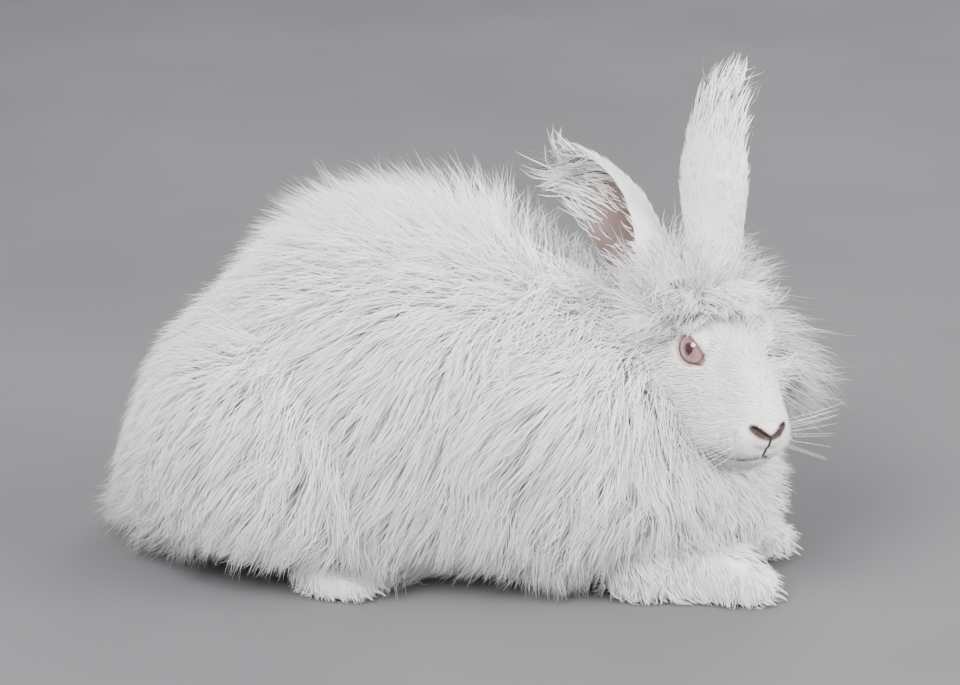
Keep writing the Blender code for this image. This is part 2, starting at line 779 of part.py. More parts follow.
def make_hind_leg(side, word, parts, tools, material, off):
    place = Vector((HAUNCH_PLACE.x, side * HAUNCH_PLACE.y, HAUNCH_PLACE.z))
    made = ellipsoid(f"hind_leg_{word}", place, HAUNCH_RADII, 16, 12, parts, material)

    def accepted(point, normal):
        return side * normal.y > 0.05 and point.z > 32 * MM

    def lie_of(point, normal):
        return Vector((-0.62, 0, -0.62))

    roots = spread_roots(made, "haunch", accepted)
    limb_loft("foot", FOOT_SECTIONS, FOOT_ENDS, side, tools, None)
    for x, y in HIND_TOES:
        place = Vector((x * MM, side * y * MM, HIND_TOE_RADII.z - 0.4 * MM))
        press_flat(ellipsoid("toe", place, HIND_TOE_RADII, 8, 6, tools))
    combine(made, tools, "UNION")
    body_room(made, tools)
    return wool(made, "haunch", roots, lie_of, tools, off)


def make_tail(parts, tools, material, off):
    made = ellipsoid("tail", TAIL_PLACE, TAIL_RADII, 12, 8, parts, material)
    body_room(made, tools)

    def accepted(point, normal):
        return normal.x < 0.2 and normal.z > -0.6

    def lie_of(point, normal):
        return Vector((-0.6, 0, -0.4))

    return wool(made, "tail", spread_roots(made, "tail", accepted), lie_of, tools, off)


def shade_round(made):
    """Shades a sub-part smooth except along its sharp edges."""
    made.data.shade_smooth()
    made.data.set_sharp_from_angle(angle=SHARP_ANGLE)


def stand_on_origin(parts):
    """Moves the whole animal so that the middle of its box is over the origin and its feet are at zero."""
    points = [vert.co for made in parts.objects for vert in made.data.vertices]
    low = [min(p[k] for p in points) for k in range(3)]
    high = [max(p[k] for p in points) for k in range(3)]
    shift = Vector((-(low[0] + high[0]) / 2, -(low[1] + high[1]) / 2, -low[2]))
    for made in parts.objects:
        made.data.transform(Matrix.Translation(shift))


def main():
    clear_scene()
    parts = new_collection("angora_rabbit")
    tools = new_collection("tools")
    tools.hide_render = True
    white_wool = new_material("white_wool", (0.93, 0.925, 0.91), 0.9)
    white_fur = new_material("short_white_fur", (0.91, 0.9, 0.88), 0.85)
    ear_skin = new_material("ear_skin", (0.86, 0.78, 0.74), 0.7)
    pink_eye = new_material("pink_eye", (0.55, 0.16, 0.17), 0.08)

    torso_core = core_tree(trunk_loft("core", TORSO_SECTIONS, TORSO_ENDS, 2, tools, None))
    neck_core = core_tree(trunk_loft("core", NECK_SECTIONS, NECK_ENDS, 2, tools, None))
    sides = ((1, "left"), (-1, "right"))
    eyes = [make_eye(side, word, parts, tools, pink_eye) for side, word in sides]
    ears = [make_ear(word, parts, tools, ear_skin) for _, word in sides]
    ear_trees = [(tree_of(ear), 5) for ear in ears]
    head = make_head(parts, tools, white_fur, eyes, [(neck_core, 0), *ear_trees])
    forelegs = [make_foreleg(side, word, parts, tools, white_fur) for side, word in sides]
    leg_trees = [(tree_of(leg), 0) for leg in forelegs]
    tail = make_tail(parts, tools, white_wool, [(torso_core, 0)])
    eye_trees = [(tree_of(eye), 12) for eye in eyes]
    near_neck = [(torso_core, 0), (tree_of(head), 0), *eye_trees, *ear_trees, *leg_trees]
    neck = make_neck(parts, tools, white_wool, near_neck)
    hinds = [make_hind_leg(side, word, parts, tools, white_wool, [(torso_core, 0)]) for side, word in sides]
    hind_trees = [(tree_of(leg), 0) for leg in hinds]
    near_torso = [(neck_core, 0), (tree_of(neck), 0), (tree_of(tail), 0), *hind_trees, *ear_trees]
    torso = make_torso(parts, tools, white_wool, near_torso)

    cut_clear(head, ears, tools)
    cut_clear(neck, [head, *eyes, *ears, *forelegs], tools)
    for leg in hinds:
        cut_clear(leg, [tail, neck, *forelegs], tools)
    cut_clear(torso, [neck, *hinds, *forelegs, tail, *ears], tools)
    stand_on_origin(parts)
    for made in parts.objects:
        shade_round(made)


main()
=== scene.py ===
"""Angora rabbit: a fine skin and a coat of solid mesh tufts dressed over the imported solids.

Metres, +Z up, in the frame's own place. Sizes below are in millimetres in the body's design frame. It
differs from the frame's place by a shift that is worked out from the eyes.
"""

import math

import bpy
import numpy as np
from mathutils import Matrix, Vector
from mathutils.bvhtree import BVHTree
from mathutils.kdtree import KDTree


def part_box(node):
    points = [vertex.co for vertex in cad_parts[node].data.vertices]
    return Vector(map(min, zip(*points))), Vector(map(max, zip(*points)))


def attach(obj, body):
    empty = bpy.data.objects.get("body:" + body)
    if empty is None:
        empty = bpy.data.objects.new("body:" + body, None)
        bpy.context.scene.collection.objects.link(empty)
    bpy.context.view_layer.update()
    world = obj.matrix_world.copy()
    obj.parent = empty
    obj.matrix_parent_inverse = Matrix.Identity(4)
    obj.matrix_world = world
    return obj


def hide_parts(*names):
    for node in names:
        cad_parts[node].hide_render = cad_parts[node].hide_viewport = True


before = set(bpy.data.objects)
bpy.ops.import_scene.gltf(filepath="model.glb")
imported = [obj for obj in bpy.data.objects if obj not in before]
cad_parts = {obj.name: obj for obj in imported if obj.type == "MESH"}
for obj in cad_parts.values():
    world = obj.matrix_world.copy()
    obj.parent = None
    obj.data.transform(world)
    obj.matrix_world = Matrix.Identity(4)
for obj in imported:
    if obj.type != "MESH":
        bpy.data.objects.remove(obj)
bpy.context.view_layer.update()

MM = 0.001
SEED = 1911
rng = np.random.default_rng(SEED)

# Trunk sections of the wool's core as in the solids: place along X, middle Y, top Z, bottom Z, half width.
TRUNK_SECTIONS = [
    (-183, 0, 92, 14, 40),
    (-168, 0, 124, 3, 62),
    (-143, 0, 150, -4, 76),
    (-108, 0, 180, -9, 83),
    (-70, 0, 194, -9, 86),
    (-30, 0, 198, -9, 85),
    (4, 0, 191, -7, 80),
    (40, 0, 177, 2, 73),
    (62, 0, 168, 2, 72),
    (90, 0, 150, 4, 67),
    (116, -3, 123, 10, 58),
    (138, -6, 98, 18, 45),
    (152, -8, 78, 28, 30),
]
TRUNK_ENDS = ((-189, 0, 52), (160, -8, 52))
TRUNK_SQUARENESS = 2.25
# How far the skin lies inside the core at the top, the sides and the ends, and above its underside.
CORE_DEPTH = 14
BELLY_DEPTH = 11

# The head's own frame: forward, left and up from the point midway between the eyes.
HEAD_PLACE = Vector((140, -30, 145))
HEAD_YAW = math.radians(-50)
HEAD_ROLL = math.radians(-4)
# Head sections: top (forward, up), bottom (forward, up), half width, narrowing of the upper half.
HEAD_SECTIONS = [
    ((49.5, -31), (47.5, -46), 9.5, 0.05),
    ((46.5, -24), (44.5, -52), 15, 0.1),
    ((40.5, -15), (38, -58), 18.5, 0.18),
    ((32, -5), (28.5, -61), 20.5, 0.22),
    ((21, 4), (17, -61), 23.5, 0.2),
    ((9, 11.5), (5, -57), 26.5, 0.14),
    ((-4, 17.5), (-8, -51), 28.8, 0.08),
    ((-18, 23), (-22, -47), 29.5, 0.06),
    ((-33, 24.5), (-37, -41), 27.5, 0.05),
    ((-47, 19), (-50, -32), 22, 0),
    ((-56, 9), (-58, -20), 13, 0),
]
HEAD_ENDS = ((51, 0, -38.5), (-60, 0, -5))
HEAD_SQUARENESS = 2.15
FACE_FUR = 1.6
# For each line of the face: how far it is bare and how pink, and how far the painted shade of its groove
# reaches and how dark it is.
FACE_MARKS = {
    "nostril": (1.6, 0.8, 1.2, 1.0),
    "mouth": (1.2, 0.6, 1.2, 0.75),
    "cleft": (0.6, 0.6, 0.5, 0.9),
}
# Swellings and hollows of the face: forward, side, up, radius, height.
FACE_FORMS = [
    (39, 11, -41, 9, 1.9),
    (24, 17, -46, 11, 1.6),
    (8, 21, -24, 13, 1.8),
    (20, 14, -6, 9, -1.6),
    (-3, 17, 13, 8, 3.2),
    (0, 20, -1, 14, 2.2),
    (14, 15, 6, 7, 0.8),
    (33, 0, -58, 7, 1.4),
    (50, 0, -34, 5, 0.9),
    (33, 0, -9, 9, -0.6),
]

EYE_PLACE = (0.2, 16.2, -2.2)
EYE_RADIUS = 10.1
LID_THICKNESS = 1.2
SOCKET_GAP = 0.15
SLIT_DEPTH = 12
# The bare rim of the lids: points round it, how far it stands out of slit and ball, and its radius.
LID_RIM_POINTS = 73
LID_RIM_GROWTH = 0.15
LID_RIM_RISE = 0.75
LID_RIM_RADIUS = 0.62
EYE_AIM = Vector((0.33, 0.93, -0.04)).normalized()
EYE_SLIT = (20.6, 13.6)
EYE_SLIT_TILT = math.radians(32)
PUPIL_ANGLE = 16
PUPIL_RISE = math.radians(10)
IRIS_ANGLE = 52

# The mouth on the left side: station along the head's sections, and degrees round from the top.
MOUTH_LINE = [(1.05, 180), (1.3, 160), (1.75, 146), (2.3, 138), (3.0, 133), (3.6, 131)]
# Lines that start at the tip of the nose, as points in the head's frame that are laid on its surface.
NOSTRIL_LINE = [
    (51.2, 0.2, -38.4),
    (50.8, 2.8, -37.4),
    (49.6, 5.4, -36),
    (48, 8, -34.2),
    (46.6, 9.6, -33.2),
]
PHILTRUM_LINE = [(51, 0, -38.4), (50.2, 0, -43.5), (48.6, 0, -47.5), (45, 0, -52)]
# Radii of the grooves along these three lines, and the points between two knots of a line.
MOUTH_BEAD = (0.7, 1.0, 1.2, 1.2, 1.0, 0.8)
NOSTRIL_BEAD = (0.6, 1.1, 1.6, 1.6, 0.9)
PHILTRUM_BEAD = (0.5, 0.5, 0.5, 0.5)
LINE_STEPS = 5
# The grey on the fur: painted shade at the corner of the mouth, the point of the mouth where it starts and
# its reach, and grey spots on the left whisker beds and theirs.
MOUTH_SHADE_POINT = -7
MOUTH_SHADE_RADIUS = 6.5
WHISKER_BEDS = [(43.5, 12, -27), (44, 14, -37), (38, 16, -42)]
WHISKER_BED_RADIUS = 2.3
WHISKER_RADIUS = 0.24

# Ears: base in the head's frame, tip, open side and bend in the body's frame.
EAR_LENGTH = 112
EAR_BASES = {"left": Vector((-36, 11.5, 16)), "right": Vector((-36, -11.5, 16))}
EAR_AIMS = {"left": Vector((0.05, 0.15, 0.99)), "right": Vector((-0.685, 0.605, 0.365))}
EAR_OPENINGS = {"left": Vector((0.5, 0.87, 0.0)), "right": Vector((-0.70, -0.69, -0.10))}
EAR_BENDS = {"left": Vector((0.008, 0.005, 0)), "right": Vector((-0.03, 0.05, 0.05))}
# Share of the ear's length, radius, half the angle that the cup wraps in degrees.
EAR_SECTIONS = [
    (0.0, 10.5, 156),
    (0.1, 11.5, 150),
    (0.2, 14.0, 128),
    (0.34, 18.5, 100),
    (0.5, 22.0, 84),
    (0.66, 22.5, 76),
    (0.8, 20.5, 68),
    (0.91, 15.5, 58),
    (0.98, 8.0, 50),
    (1.0, 3.0, 40),
]
EAR_WALL = 1.7
EAR_BREADTH = {"left": 0.9, "right": 1.16}
EAR_RIPPLE = 0.03

# Legs, for the left side: X, middle Y, top Z, half width.
FORELEG_SECTIONS = [
    (84, 38, 34, 13),
    (98, 38, 40, 16.5),
    (116, 36, 37, 16),
    (133, 34.5, 33, 16),
    (148, 34, 31, 17.5),
    (158, 34, 26, 17),
]
FORELEG_ENDS = ((78, 38, 16), (164, 34, 10))
FORE_TOES = [(155, 22), (160.5, 29.5), (161, 38), (156, 46)]
FORE_TOE_RADII = Vector((13, 5, 9.5))
FOOT_SECTIONS = [
    (-84, 66, 19, 12),
    (-75, 70, 19, 15),
    (-65, 72.5, 18, 16.5),
    (-56, 73, 16, 15),
]
FOOT_ENDS = ((-92, 63, 15), (-50, 73, 7))
HIND_TOES = [(-56.5, 62), (-52, 69.5), (-52.5, 77), (-58, 84)]
HIND_TOE_RADII = Vector((12, 4.6, 7.4))
FOOT_SQUARENESS = 2.3
PAW_FUR = 1.5
HAUNCH_PLACE = Vector((-106, 61, 74))
HAUNCH_RADII = Vector((56, 26, 58))
TAIL_PLACE = Vector((-184, 0, 38))
TAIL_RADII = Vector((12, 10, 15))
CLAW_LENGTH = 7.5
CLAW_RADIUS = 1.35

# Voxel of each remeshed form in mm, and the rounds of smoothing after it.
BODY_MESH = (3.2, 10)
HEAD_MESH = (0.95, 8)
PAW_MESH = (1.3, 4)
# Points of a bead that lie nearer to each other than this, in metres, are one.
SAME_POINT = 0.00001
# How near the skin has to be to a part's own form to belong to it.
REGION_REACH = {"head": 0.3, "paws": 0.4, "left": 0.3, "right": 0.3}

# The photograph's frame: 960 x 685 pixels, and where the camera stands.
FRAME_WIDTH = 960
FRAME_HEIGHT = 685
PIXELS_PER_MM = 1.77
ORIGIN_ROW = 553.5
CAMERA_AZIMUTH = math.radians(12)
CAMERA_ELEVATION = math.radians(18)
CAMERA_DISTANCE = 1.8
SENSOR = 36

# Numbers of tufts by region: broad ones beneath, and fine ones over them.
COUNTS = {"body_under": 11000, "body": 54000, "head": 20000, "ears": 6400, "paws": 6400}
BODY_PIECES = ("coat_rump", "coat_loin", "coat_back", "coat_shoulder", "coat_chest")
STRAYS = 0.09
# Least and most of what varies from tuft to tuft, as shares of the coat's own measure.
LENGTH_SPREAD = (0.72, 1.12)
STAND_SPREAD = (0.75, 1.25)
WIDTH_SPREAD = (0.7, 1.25)
GATHER_SPREAD = (0.4, 1.2)
LOCK_SIZES = (0.88, 1.14)
# Least and most waves along a single tuft, and along a whole lock.
FRIZZ_WAVES = (0.8, 1.8)
CURL_WAVES = (0.8, 1.5)
# How much the lie of a tuft varies, and that of a whole lock.
LIE_SPREAD = 0.13
LOCK_SWING = 0.32
# A tuft's section: its width at the root, how much it narrows and how late, and its thickness.
ROOT_WIDTH = 0.75
TIP_TAPER = 0.72
TAPER_POWER = 1.6
TUFT_THICKNESS = 0.55
# Least clearance of a tuft from the floor in mm, and how much more it can be.
FLOOR_CLEAR = 0.8
FLOOR_SPREAD = 2.5
# Size of a tuft's patch on the bake map.
BAKE_PATCH = 0.003
# How far the tufts' shading leans towards the coat's surface.
SOFTNESS = 2.2
# The wool stands clear of the side of the right ear that looks this way, for this many mm.
EAR_VIEW = np.array((-0.1, -0.95, 0.3))
EAR_CLEAR = 75

# Finishes of one grained colour: colour, roughness, scale of the grain, darker shade and lighter shade.
GRAINED = {
    "lid_rim_skin": ((0.42, 0.24, 0.22), 0.35, 400.0, (0.15, 0.08, 0.075), (0.28, 0.17, 0.16)),
    "claw_horn": ((0.7, 0.62, 0.55), 0.3, 250.0, (0.62, 0.52, 0.46), (0.78, 0.70, 0.64)),
    "studio_floor_paper": ((0.14, 0.14, 0.145), 0.9, 3.0, (0.125, 0.125, 0.13), (0.155, 0.155, 0.16)),
}
# Lamps: place and target in metres, size and power.
LAMPS = {
    "key_light": ((-0.5, -1.6, 1.8), (0, 0, 0.1), 1.4, 105),
    "fill_light": ((1.9, -0.6, 0.9), (0.05, 0, 0.12), 1.6, 75),
    "back_light": ((0.4, 1.6, 1.5), (0, 0, 0.15), 1.2, 26),
}
SKY_COLOUR = (0.8, 0.82, 0.85, 1)
SKY_STRENGTH = 0.8


def unit(vectors):
    return vectors / np.maximum(np.linalg.norm(vectors, axis=-1, keepdims=True), 1e-9)


def ridge(values, middle, width):
    """1 at the middle, and fading to both sides over about this width."""
    return np.exp(-(((values - middle) / width) ** 2))


def spot_share(points, place, radius):
    """1 at a place, and fading round it over about this radius."""
    return ridge(np.linalg.norm(points - np.array(place), axis=1), 0, radius)


def head_turn():
    return Matrix.Rotation(HEAD_YAW, 3, "Z") @ Matrix.Rotation(HEAD_ROLL, 3, "X")


def head_matrix():
    """From the head's frame to the design frame, in mm."""
    return Matrix.Translation(HEAD_PLACE) @ head_turn().to_4x4()


def eye_matrix(side):
    """From the eye's frame to the head's: +Z looks out, +X runs to the corner next to the nose."""
    aim = Vector((EYE_AIM.x, side * EYE_AIM.y, EYE_AIM.z))
    front = Vector((1, 0, 0)) - aim * aim.x
    front = (Matrix.Rotation(side * EYE_SLIT_TILT, 3, aim) @ front.normalized()).normalized()
    up = aim.cross(front)
    turn = Matrix((front, up, aim)).transposed().to_4x4()
    place = Vector((EYE_PLACE[0], side * EYE_PLACE[1], EYE_PLACE[2]))
    return Matrix.Translation(place) @ turn


def find_shift():
    """Where the design frame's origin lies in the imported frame, from the places of the eyes."""
    middles = []
    for word in ("left", "right"):
        low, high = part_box(f"eye_{word}")
        middles.append((low + high) / 2)
    seen = (middles[0] + middles[1]) / 2
    ideal = head_matrix() @ ((eye_matrix(1).translation + eye_matrix(-1).translation) / 2)
    shift = seen - ideal * MM
    shift.z = 0
    return shift


SHIFT = find_shift()


def to_frame(points):
    """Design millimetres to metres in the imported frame."""
    return np.asarray(points) * MM + np.array(SHIFT)


def to_design(points):
    return (np.asarray(points) - np.array(SHIFT)) / MM


def curve_rows(rows, stations):
    """Rows at fractional stations, on a smooth curve through the given ones."""
    rows = np.asarray(rows, float)
    at = np.clip(np.asarray(stations, float), 0, len(rows) - 1 - 1e-9)
    first = at.astype(int)
    t = (at - first)[:, None]
    p, q, r, u = (rows[np.clip(first + k, 0, len(rows) - 1)] for k in (-1, 0, 1, 2))
    return 0.5 * (2 * q + (r - p) * t + (2 * p - 5 * q + 4 * r - u) * t**2 + (3 * q - p - 3 * r + u) * t**3)


def squared(angle, squareness):
    """Up and side shares of a squarish ring at an angle from its top."""
    up, out = np.cos(angle), np.sin(angle)
    return np.sign(up) * np.abs(up) ** (2 / squareness), np.sign(out) * np.abs(out) ** (2 / squareness)


def vertices_of(made):
    points = np.empty(len(made.data.vertices) * 3)
    made.data.vertices.foreach_get("co", points)
    return points.reshape(-1, 3)


def place_vertices(made, points):
    made.data.vertices.foreach_set("co", np.asarray(points, float).ravel())
    made.data.update()


def select_only(*made):
    bpy.ops.object.select_all(action="DESELECT")
    for item in made:
        item.select_set(True)
    bpy.context.view_layer.objects.active = made[0]


def apply_all(made):
    select_only(made)
    for modifier in list(made.modifiers):
        bpy.ops.object.modifier_apply(modifier=modifier.name)
    return made


def join(name, pieces):
    select_only(*pieces)
    if len(pieces) > 1:
        bpy.ops.object.join()
    made = bpy.context.object
    made.name = name
    return made


def ball(name, segments, rings):
    bpy.ops.object.select_all(action="DESELECT")
    bpy.ops.mesh.primitive_uv_sphere_add(segments=segments, ring_count=rings, radius=1)
    made = bpy.context.object
    made.name = name
    return made


def drawn_ball(name, ring_at, count, ends, segments=64, rings=64):
    """A ball drawn out along a run of cross-sections, with rounded ends.

    ring_at(stations, angles) gives the points of the cross-sections.
    """
    made = ball(name, segments, rings)
    points = vertices_of(made)
    share = np.arccos(np.clip(points[:, 2], -1, 1)) / math.pi
    angle = np.arctan2(points[:, 1], points[:, 0])
    station = share * (count + 1) - 1
    placed = ring_at(np.clip(station, 0, count - 1), angle)
    for end, beyond in ((ends[0], -station), (ends[1], station - (count - 1))):
        cap = beyond > 0
        reach = np.clip(beyond[cap], 0, 1)[:, None] * math.pi / 2
        edge = placed[cap]
        middle = ring_at(np.full(2, 0 if end is ends[0] else count - 1), np.array([0, math.pi])).mean(0)
        placed[cap] = middle + (edge - middle) * np.cos(reach) + (np.array(end) - middle) * np.sin(reach)
    place_vertices(made, to_frame(placed))
    return made


def egg(name, place, radii, turn=None, segments=32, rings=24):
    """An ellipsoid at a design place."""
    made = ball(name, segments, rings)
    points = vertices_of(made) * np.array(radii)
    if turn is not None:
        points = points @ np.array(turn).T
    place_vertices(made, to_frame(points + np.array(place)))
    return made


def trunk_ring(stations, angles):
    rows = curve_rows(TRUNK_SECTIONS, stations)
    x, y, top, bottom, half = rows.T
    top, bottom, half = top - CORE_DEPTH, bottom + BELLY_DEPTH, half - CORE_DEPTH
    up, out = squared(angles, TRUNK_SQUARENESS)
    return np.stack([x, y + half * out * (1 - 0.08 * up), (top + bottom) / 2 + (top - bottom) / 2 * up], 1)


def limb_ring(sections, side, depth):
    def ring(stations, angles):
        x, y, top, half = curve_rows(sections, stations).T
        up, out = squared(angles, FOOT_SQUARENESS)
        height = top * 0.42 + (top * 0.58 - depth) * up
        across = side * y + (half - depth) * out * (1 - 0.12 * up)
        return np.stack([x, across, np.maximum(height, depth * 0.6)], 1)

    return ring


def head_ring(stations, angles):
    """Points of the head's surface, in the head's frame."""
    rows = [(*top, *bottom, half, narrow) for top, bottom, half, narrow in HEAD_SECTIONS]
    f_top, u_top, f_low, u_low, half, narrow = curve_rows(rows, stations).T
    up, out = squared(angles, HEAD_SQUARENESS)
    forward = (f_top + f_low) / 2 + (f_top - f_low) / 2 * up
    height = (u_top + u_low) / 2 + (u_top - u_low) / 2 * up
    return np.stack([forward, half * out * (1 - narrow * up), height], 1)


def head_to_design(points):
    return np.asarray(points) @ np.array(head_turn()).T + np.array(HEAD_PLACE)


def design_to_head(points):
    return (np.asarray(points) - np.array(HEAD_PLACE)) @ np.array(head_turn())


def face_form(points, centre_line):
    """Moves points of the head in or out by the swellings of the face and by the depth of its fur."""
    outward = unit(points - centre_line)
    moved = np.full(len(points), -FACE_FUR)
    for forward, side, up, radius, height in FACE_FORMS:
        for sign in (1, -1) if side else (1,):
            moved += height * spot_share(points, (forward, sign * side, up), radius)
    return points + outward * moved[:, None]


def face_surface(stations, angles):
    """Points of the head's surface with the forms of the face, in the head's frame."""
    middle = (head_ring(stations, angles * 0) + head_ring(stations, angles * 0 + math.pi)) / 2
    return face_form(head_ring(stations, angles), middle)


def make_head_form():
    def ring(stations, angles):
        return head_to_design(face_surface(stations, angles))

    ends = [head_to_design(np.array(end)[None])[0] for end in HEAD_ENDS]
    return drawn_ball("head_form", ring, len(HEAD_SECTIONS), ends, 128, 128)


def boolean(body, tool, operation):
    cut = body.modifiers.new("cut", "BOOLEAN")
    cut.operation = operation
    cut.solver = "MANIFOLD"
    cut.object = tool
    apply_all(body)
    bpy.data.objects.remove(tool)
    return body


def remeshed(made, voxel, smoothing):
    mesher = made.modifiers.new("voxels", "REMESH")
    mesher.mode = "VOXEL"
    mesher.voxel_size = voxel * MM
    smoother = made.modifiers.new("smoother", "SMOOTH")
    smoother.factor = 0.5
    smoother.iterations = smoothing
    return apply_all(made)


def close_faces(merging=0.0):
    """Turns the faces of the active mesh outwards, and first merges points this near to each other."""
    bpy.ops.object.mode_set(mode="EDIT")
    bpy.ops.mesh.select_all(action="SELECT")
    if merging:
        bpy.ops.mesh.remove_doubles(threshold=merging)
    bpy.ops.mesh.normals_make_consistent(inside=False)
    bpy.ops.object.mode_set(mode="OBJECT")


def bead(name, points, radii, sides=8):
    """A tapered round bead along design points, made from a curve."""
    data = bpy.data.curves.new(name, "CURVE")
    data.dimensions = "3D"
    data.bevel_depth = MM
    data.bevel_resolution = sides // 4
    data.use_fill_caps = True
    line = data.splines.new("POLY")
    line.points.add(len(points) - 1)
    for knot, point, radius in zip(line.points, to_frame(points), radii):
        knot.co = (*point, 1)
        knot.radius = radius
    made = bpy.data.objects.new(name, data)
    bpy.context.scene.collection.objects.link(made)
    select_only(made)
    bpy.ops.object.convert(target="MESH")
    made = bpy.context.object
    close_faces(SAME_POINT)
    return made


def fine_stations(knots):
    """Evenly spaced stations from the first knot of a line to its last."""
    return np.linspace(0, len(knots) - 1, (len(knots) - 1) * LINE_STEPS + 1)


def mouth_line(side):
    """Points along the mouth, in the head's frame."""
    stations, degrees = curve_rows(MOUTH_LINE, fine_stations(MOUTH_LINE)).T
    return face_surface(stations, np.radians(degrees) * side)


def laid_line(tree, knots, side=1):
    """Points along a line given on the left, laid on the head's surface, in the head's frame."""
    rows = curve_rows(knots, fine_stations(knots))
    spots = to_frame(head_to_design(rows * np.array((1, side, 1))))
    laid = np.array([tree.find_nearest(spot)[0] for spot in spots])
    return design_to_head(to_design(laid))


def find_face_lines(head):
    """The lines of the mouth, the nostrils and the cleft under the nose, with the radii along them."""
    tree = tree_of(head)
    lines = [("cleft", laid_line(tree, PHILTRUM_LINE), PHILTRUM_BEAD)]
    for side in (1, -1):
        lines.append(("mouth", mouth_line(side), MOUTH_BEAD))
        lines.append(("nostril", laid_line(tree, NOSTRIL_LINE, side), NOSTRIL_BEAD))
    return lines


def spread_radii(radii, count):
    return curve_rows([(radius,) for radius in radii], np.linspace(0, len(radii) - 1, count))[:, 0]


def face_cutter(name, points, radii):
    return bead(name, head_to_design(points), spread_radii(radii, len(points)))


def make_slit(side):
    """A plug whose outline is the gap between the lids, pointed at the corner next to the nose."""
    bpy.ops.object.select_all(action="DESELECT")
    bpy.ops.mesh.primitive_cylinder_add(vertices=48, radius=0.5, depth=1)
    made = bpy.context.object
    points = vertices_of(made)
    x, y = almond_outline(points[:, 0] * 2, points[:, 1] * 2)
    local = np.stack([x, y, points[:, 2] * SLIT_DEPTH + EYE_RADIUS + 1], 1)
    place_vertices(made, to_frame(eye_to_design(local, side)))
    return made


def almond_outline(across, up, grow=0.0):
    """The outline of the gap between the lids, from the points of a unit circle."""
    point = np.maximum(0, across)
    x = across * (EYE_SLIT[0] / 2 + grow) * (1 + 0.18 * point**4)
    y = up * (EYE_SLIT[1] / 2 + grow) * (1 - 0.3 * point**2)
    return x, y


def eye_to_design(points, side):
    matrix = np.array(head_matrix() @ eye_matrix(side))
    return np.asarray(points) @ matrix[:3, :3].T + matrix[:3, 3]


def design_to_eye(points, side):
    matrix = np.array((head_matrix() @ eye_matrix(side)).inverted())
    return np.asarray(points) @ matrix[:3, :3].T + matrix[:3, 3]


def slit_share(x, y):
    """How far from the middle of the gap between the lids, with its edge at about 1."""
    return np.hypot(x / (EYE_SLIT[0] / 2), y / (EYE_SLIT[1] / 2))


def eye_egg(name, side, radius):
    """A ball round the middle of an eye."""
    matrix = head_matrix() @ eye_matrix(side)
    return egg(name, matrix.translation, (radius,) * 3, matrix.to_3x3(), 64, 48)


def make_head_skin():
    """The head with its lids, mouth and nostrils, at a fine mesh."""
    pieces = [make_head_form()]
    pieces += [eye_egg("lid", side, EYE_RADIUS + LID_THICKNESS) for side in (1, -1)]
    head = remeshed(join("head_skin", pieces), *HEAD_MESH)
    lines = find_face_lines(head)
    for side in (1, -1):
        boolean(head, eye_egg("socket", side, EYE_RADIUS + SOCKET_GAP), "DIFFERENCE")
        boolean(head, make_slit(side), "DIFFERENCE")
    for name, points, radii in lines:
        boolean(head, face_cutter(name, points, radii), "DIFFERENCE")
    return head, lines


def make_limb(side, sections, ends, toes, radii):
    """The visible end of a leg and its toes, for one side."""
    tips = [(x, side * y, z) for x, y, z in ends]
    ring = limb_ring(sections, side, PAW_FUR)
    pieces = [drawn_ball("limb", ring, len(sections), tips, 40, 40)]
    size = radii - Vector((PAW_FUR,) * 3) * 0.6
    pieces += [egg("toe", (x, side * y, radii.z), size) for x, y in toes]
    return pieces


def make_body_skin():
    """Trunk, haunches and tail as one form."""
    trunk = drawn_ball("trunk", trunk_ring, len(TRUNK_SECTIONS), TRUNK_ENDS, 96, 96)
    pieces = [trunk, egg("tail_form", TAIL_PLACE, TAIL_RADII)]
    for side in (1, -1):
        place = (HAUNCH_PLACE.x, side * HAUNCH_PLACE.y, HAUNCH_PLACE.z)
        pieces.append(egg("haunch", place, HAUNCH_RADII))
    return remeshed(join("body_skin", pieces), *BODY_MESH)


def make_paw_skin():
    pieces = []
    for side in (1, -1):
        pieces += make_limb(side, FORELEG_SECTIONS, FORELEG_ENDS, FORE_TOES, FORE_TOE_RADII)
        pieces += make_limb(side, FOOT_SECTIONS, FOOT_ENDS, HIND_TOES, HIND_TOE_RADII)
    return remeshed(join("paw_skin", pieces), *PAW_MESH)


def ear_frame(word):
    """Base point, axis, open direction and width direction of an ear, in the design frame."""
    base = head_matrix() @ EAR_BASES[word]
    axis = EAR_AIMS[word].normalized()
    opening = EAR_OPENINGS[word] - axis * EAR_OPENINGS[word].dot(axis)
    opening.normalize()
    return tuple(np.array(part) for part in (base, axis, opening, axis.cross(opening)))


def ear_spine(word, share):
    base, axis = ear_frame(word)[:2]
    share = np.asarray(share)[:, None]
    return base + axis * EAR_LENGTH * share + np.array(EAR_BENDS[word]) * EAR_LENGTH * share**2


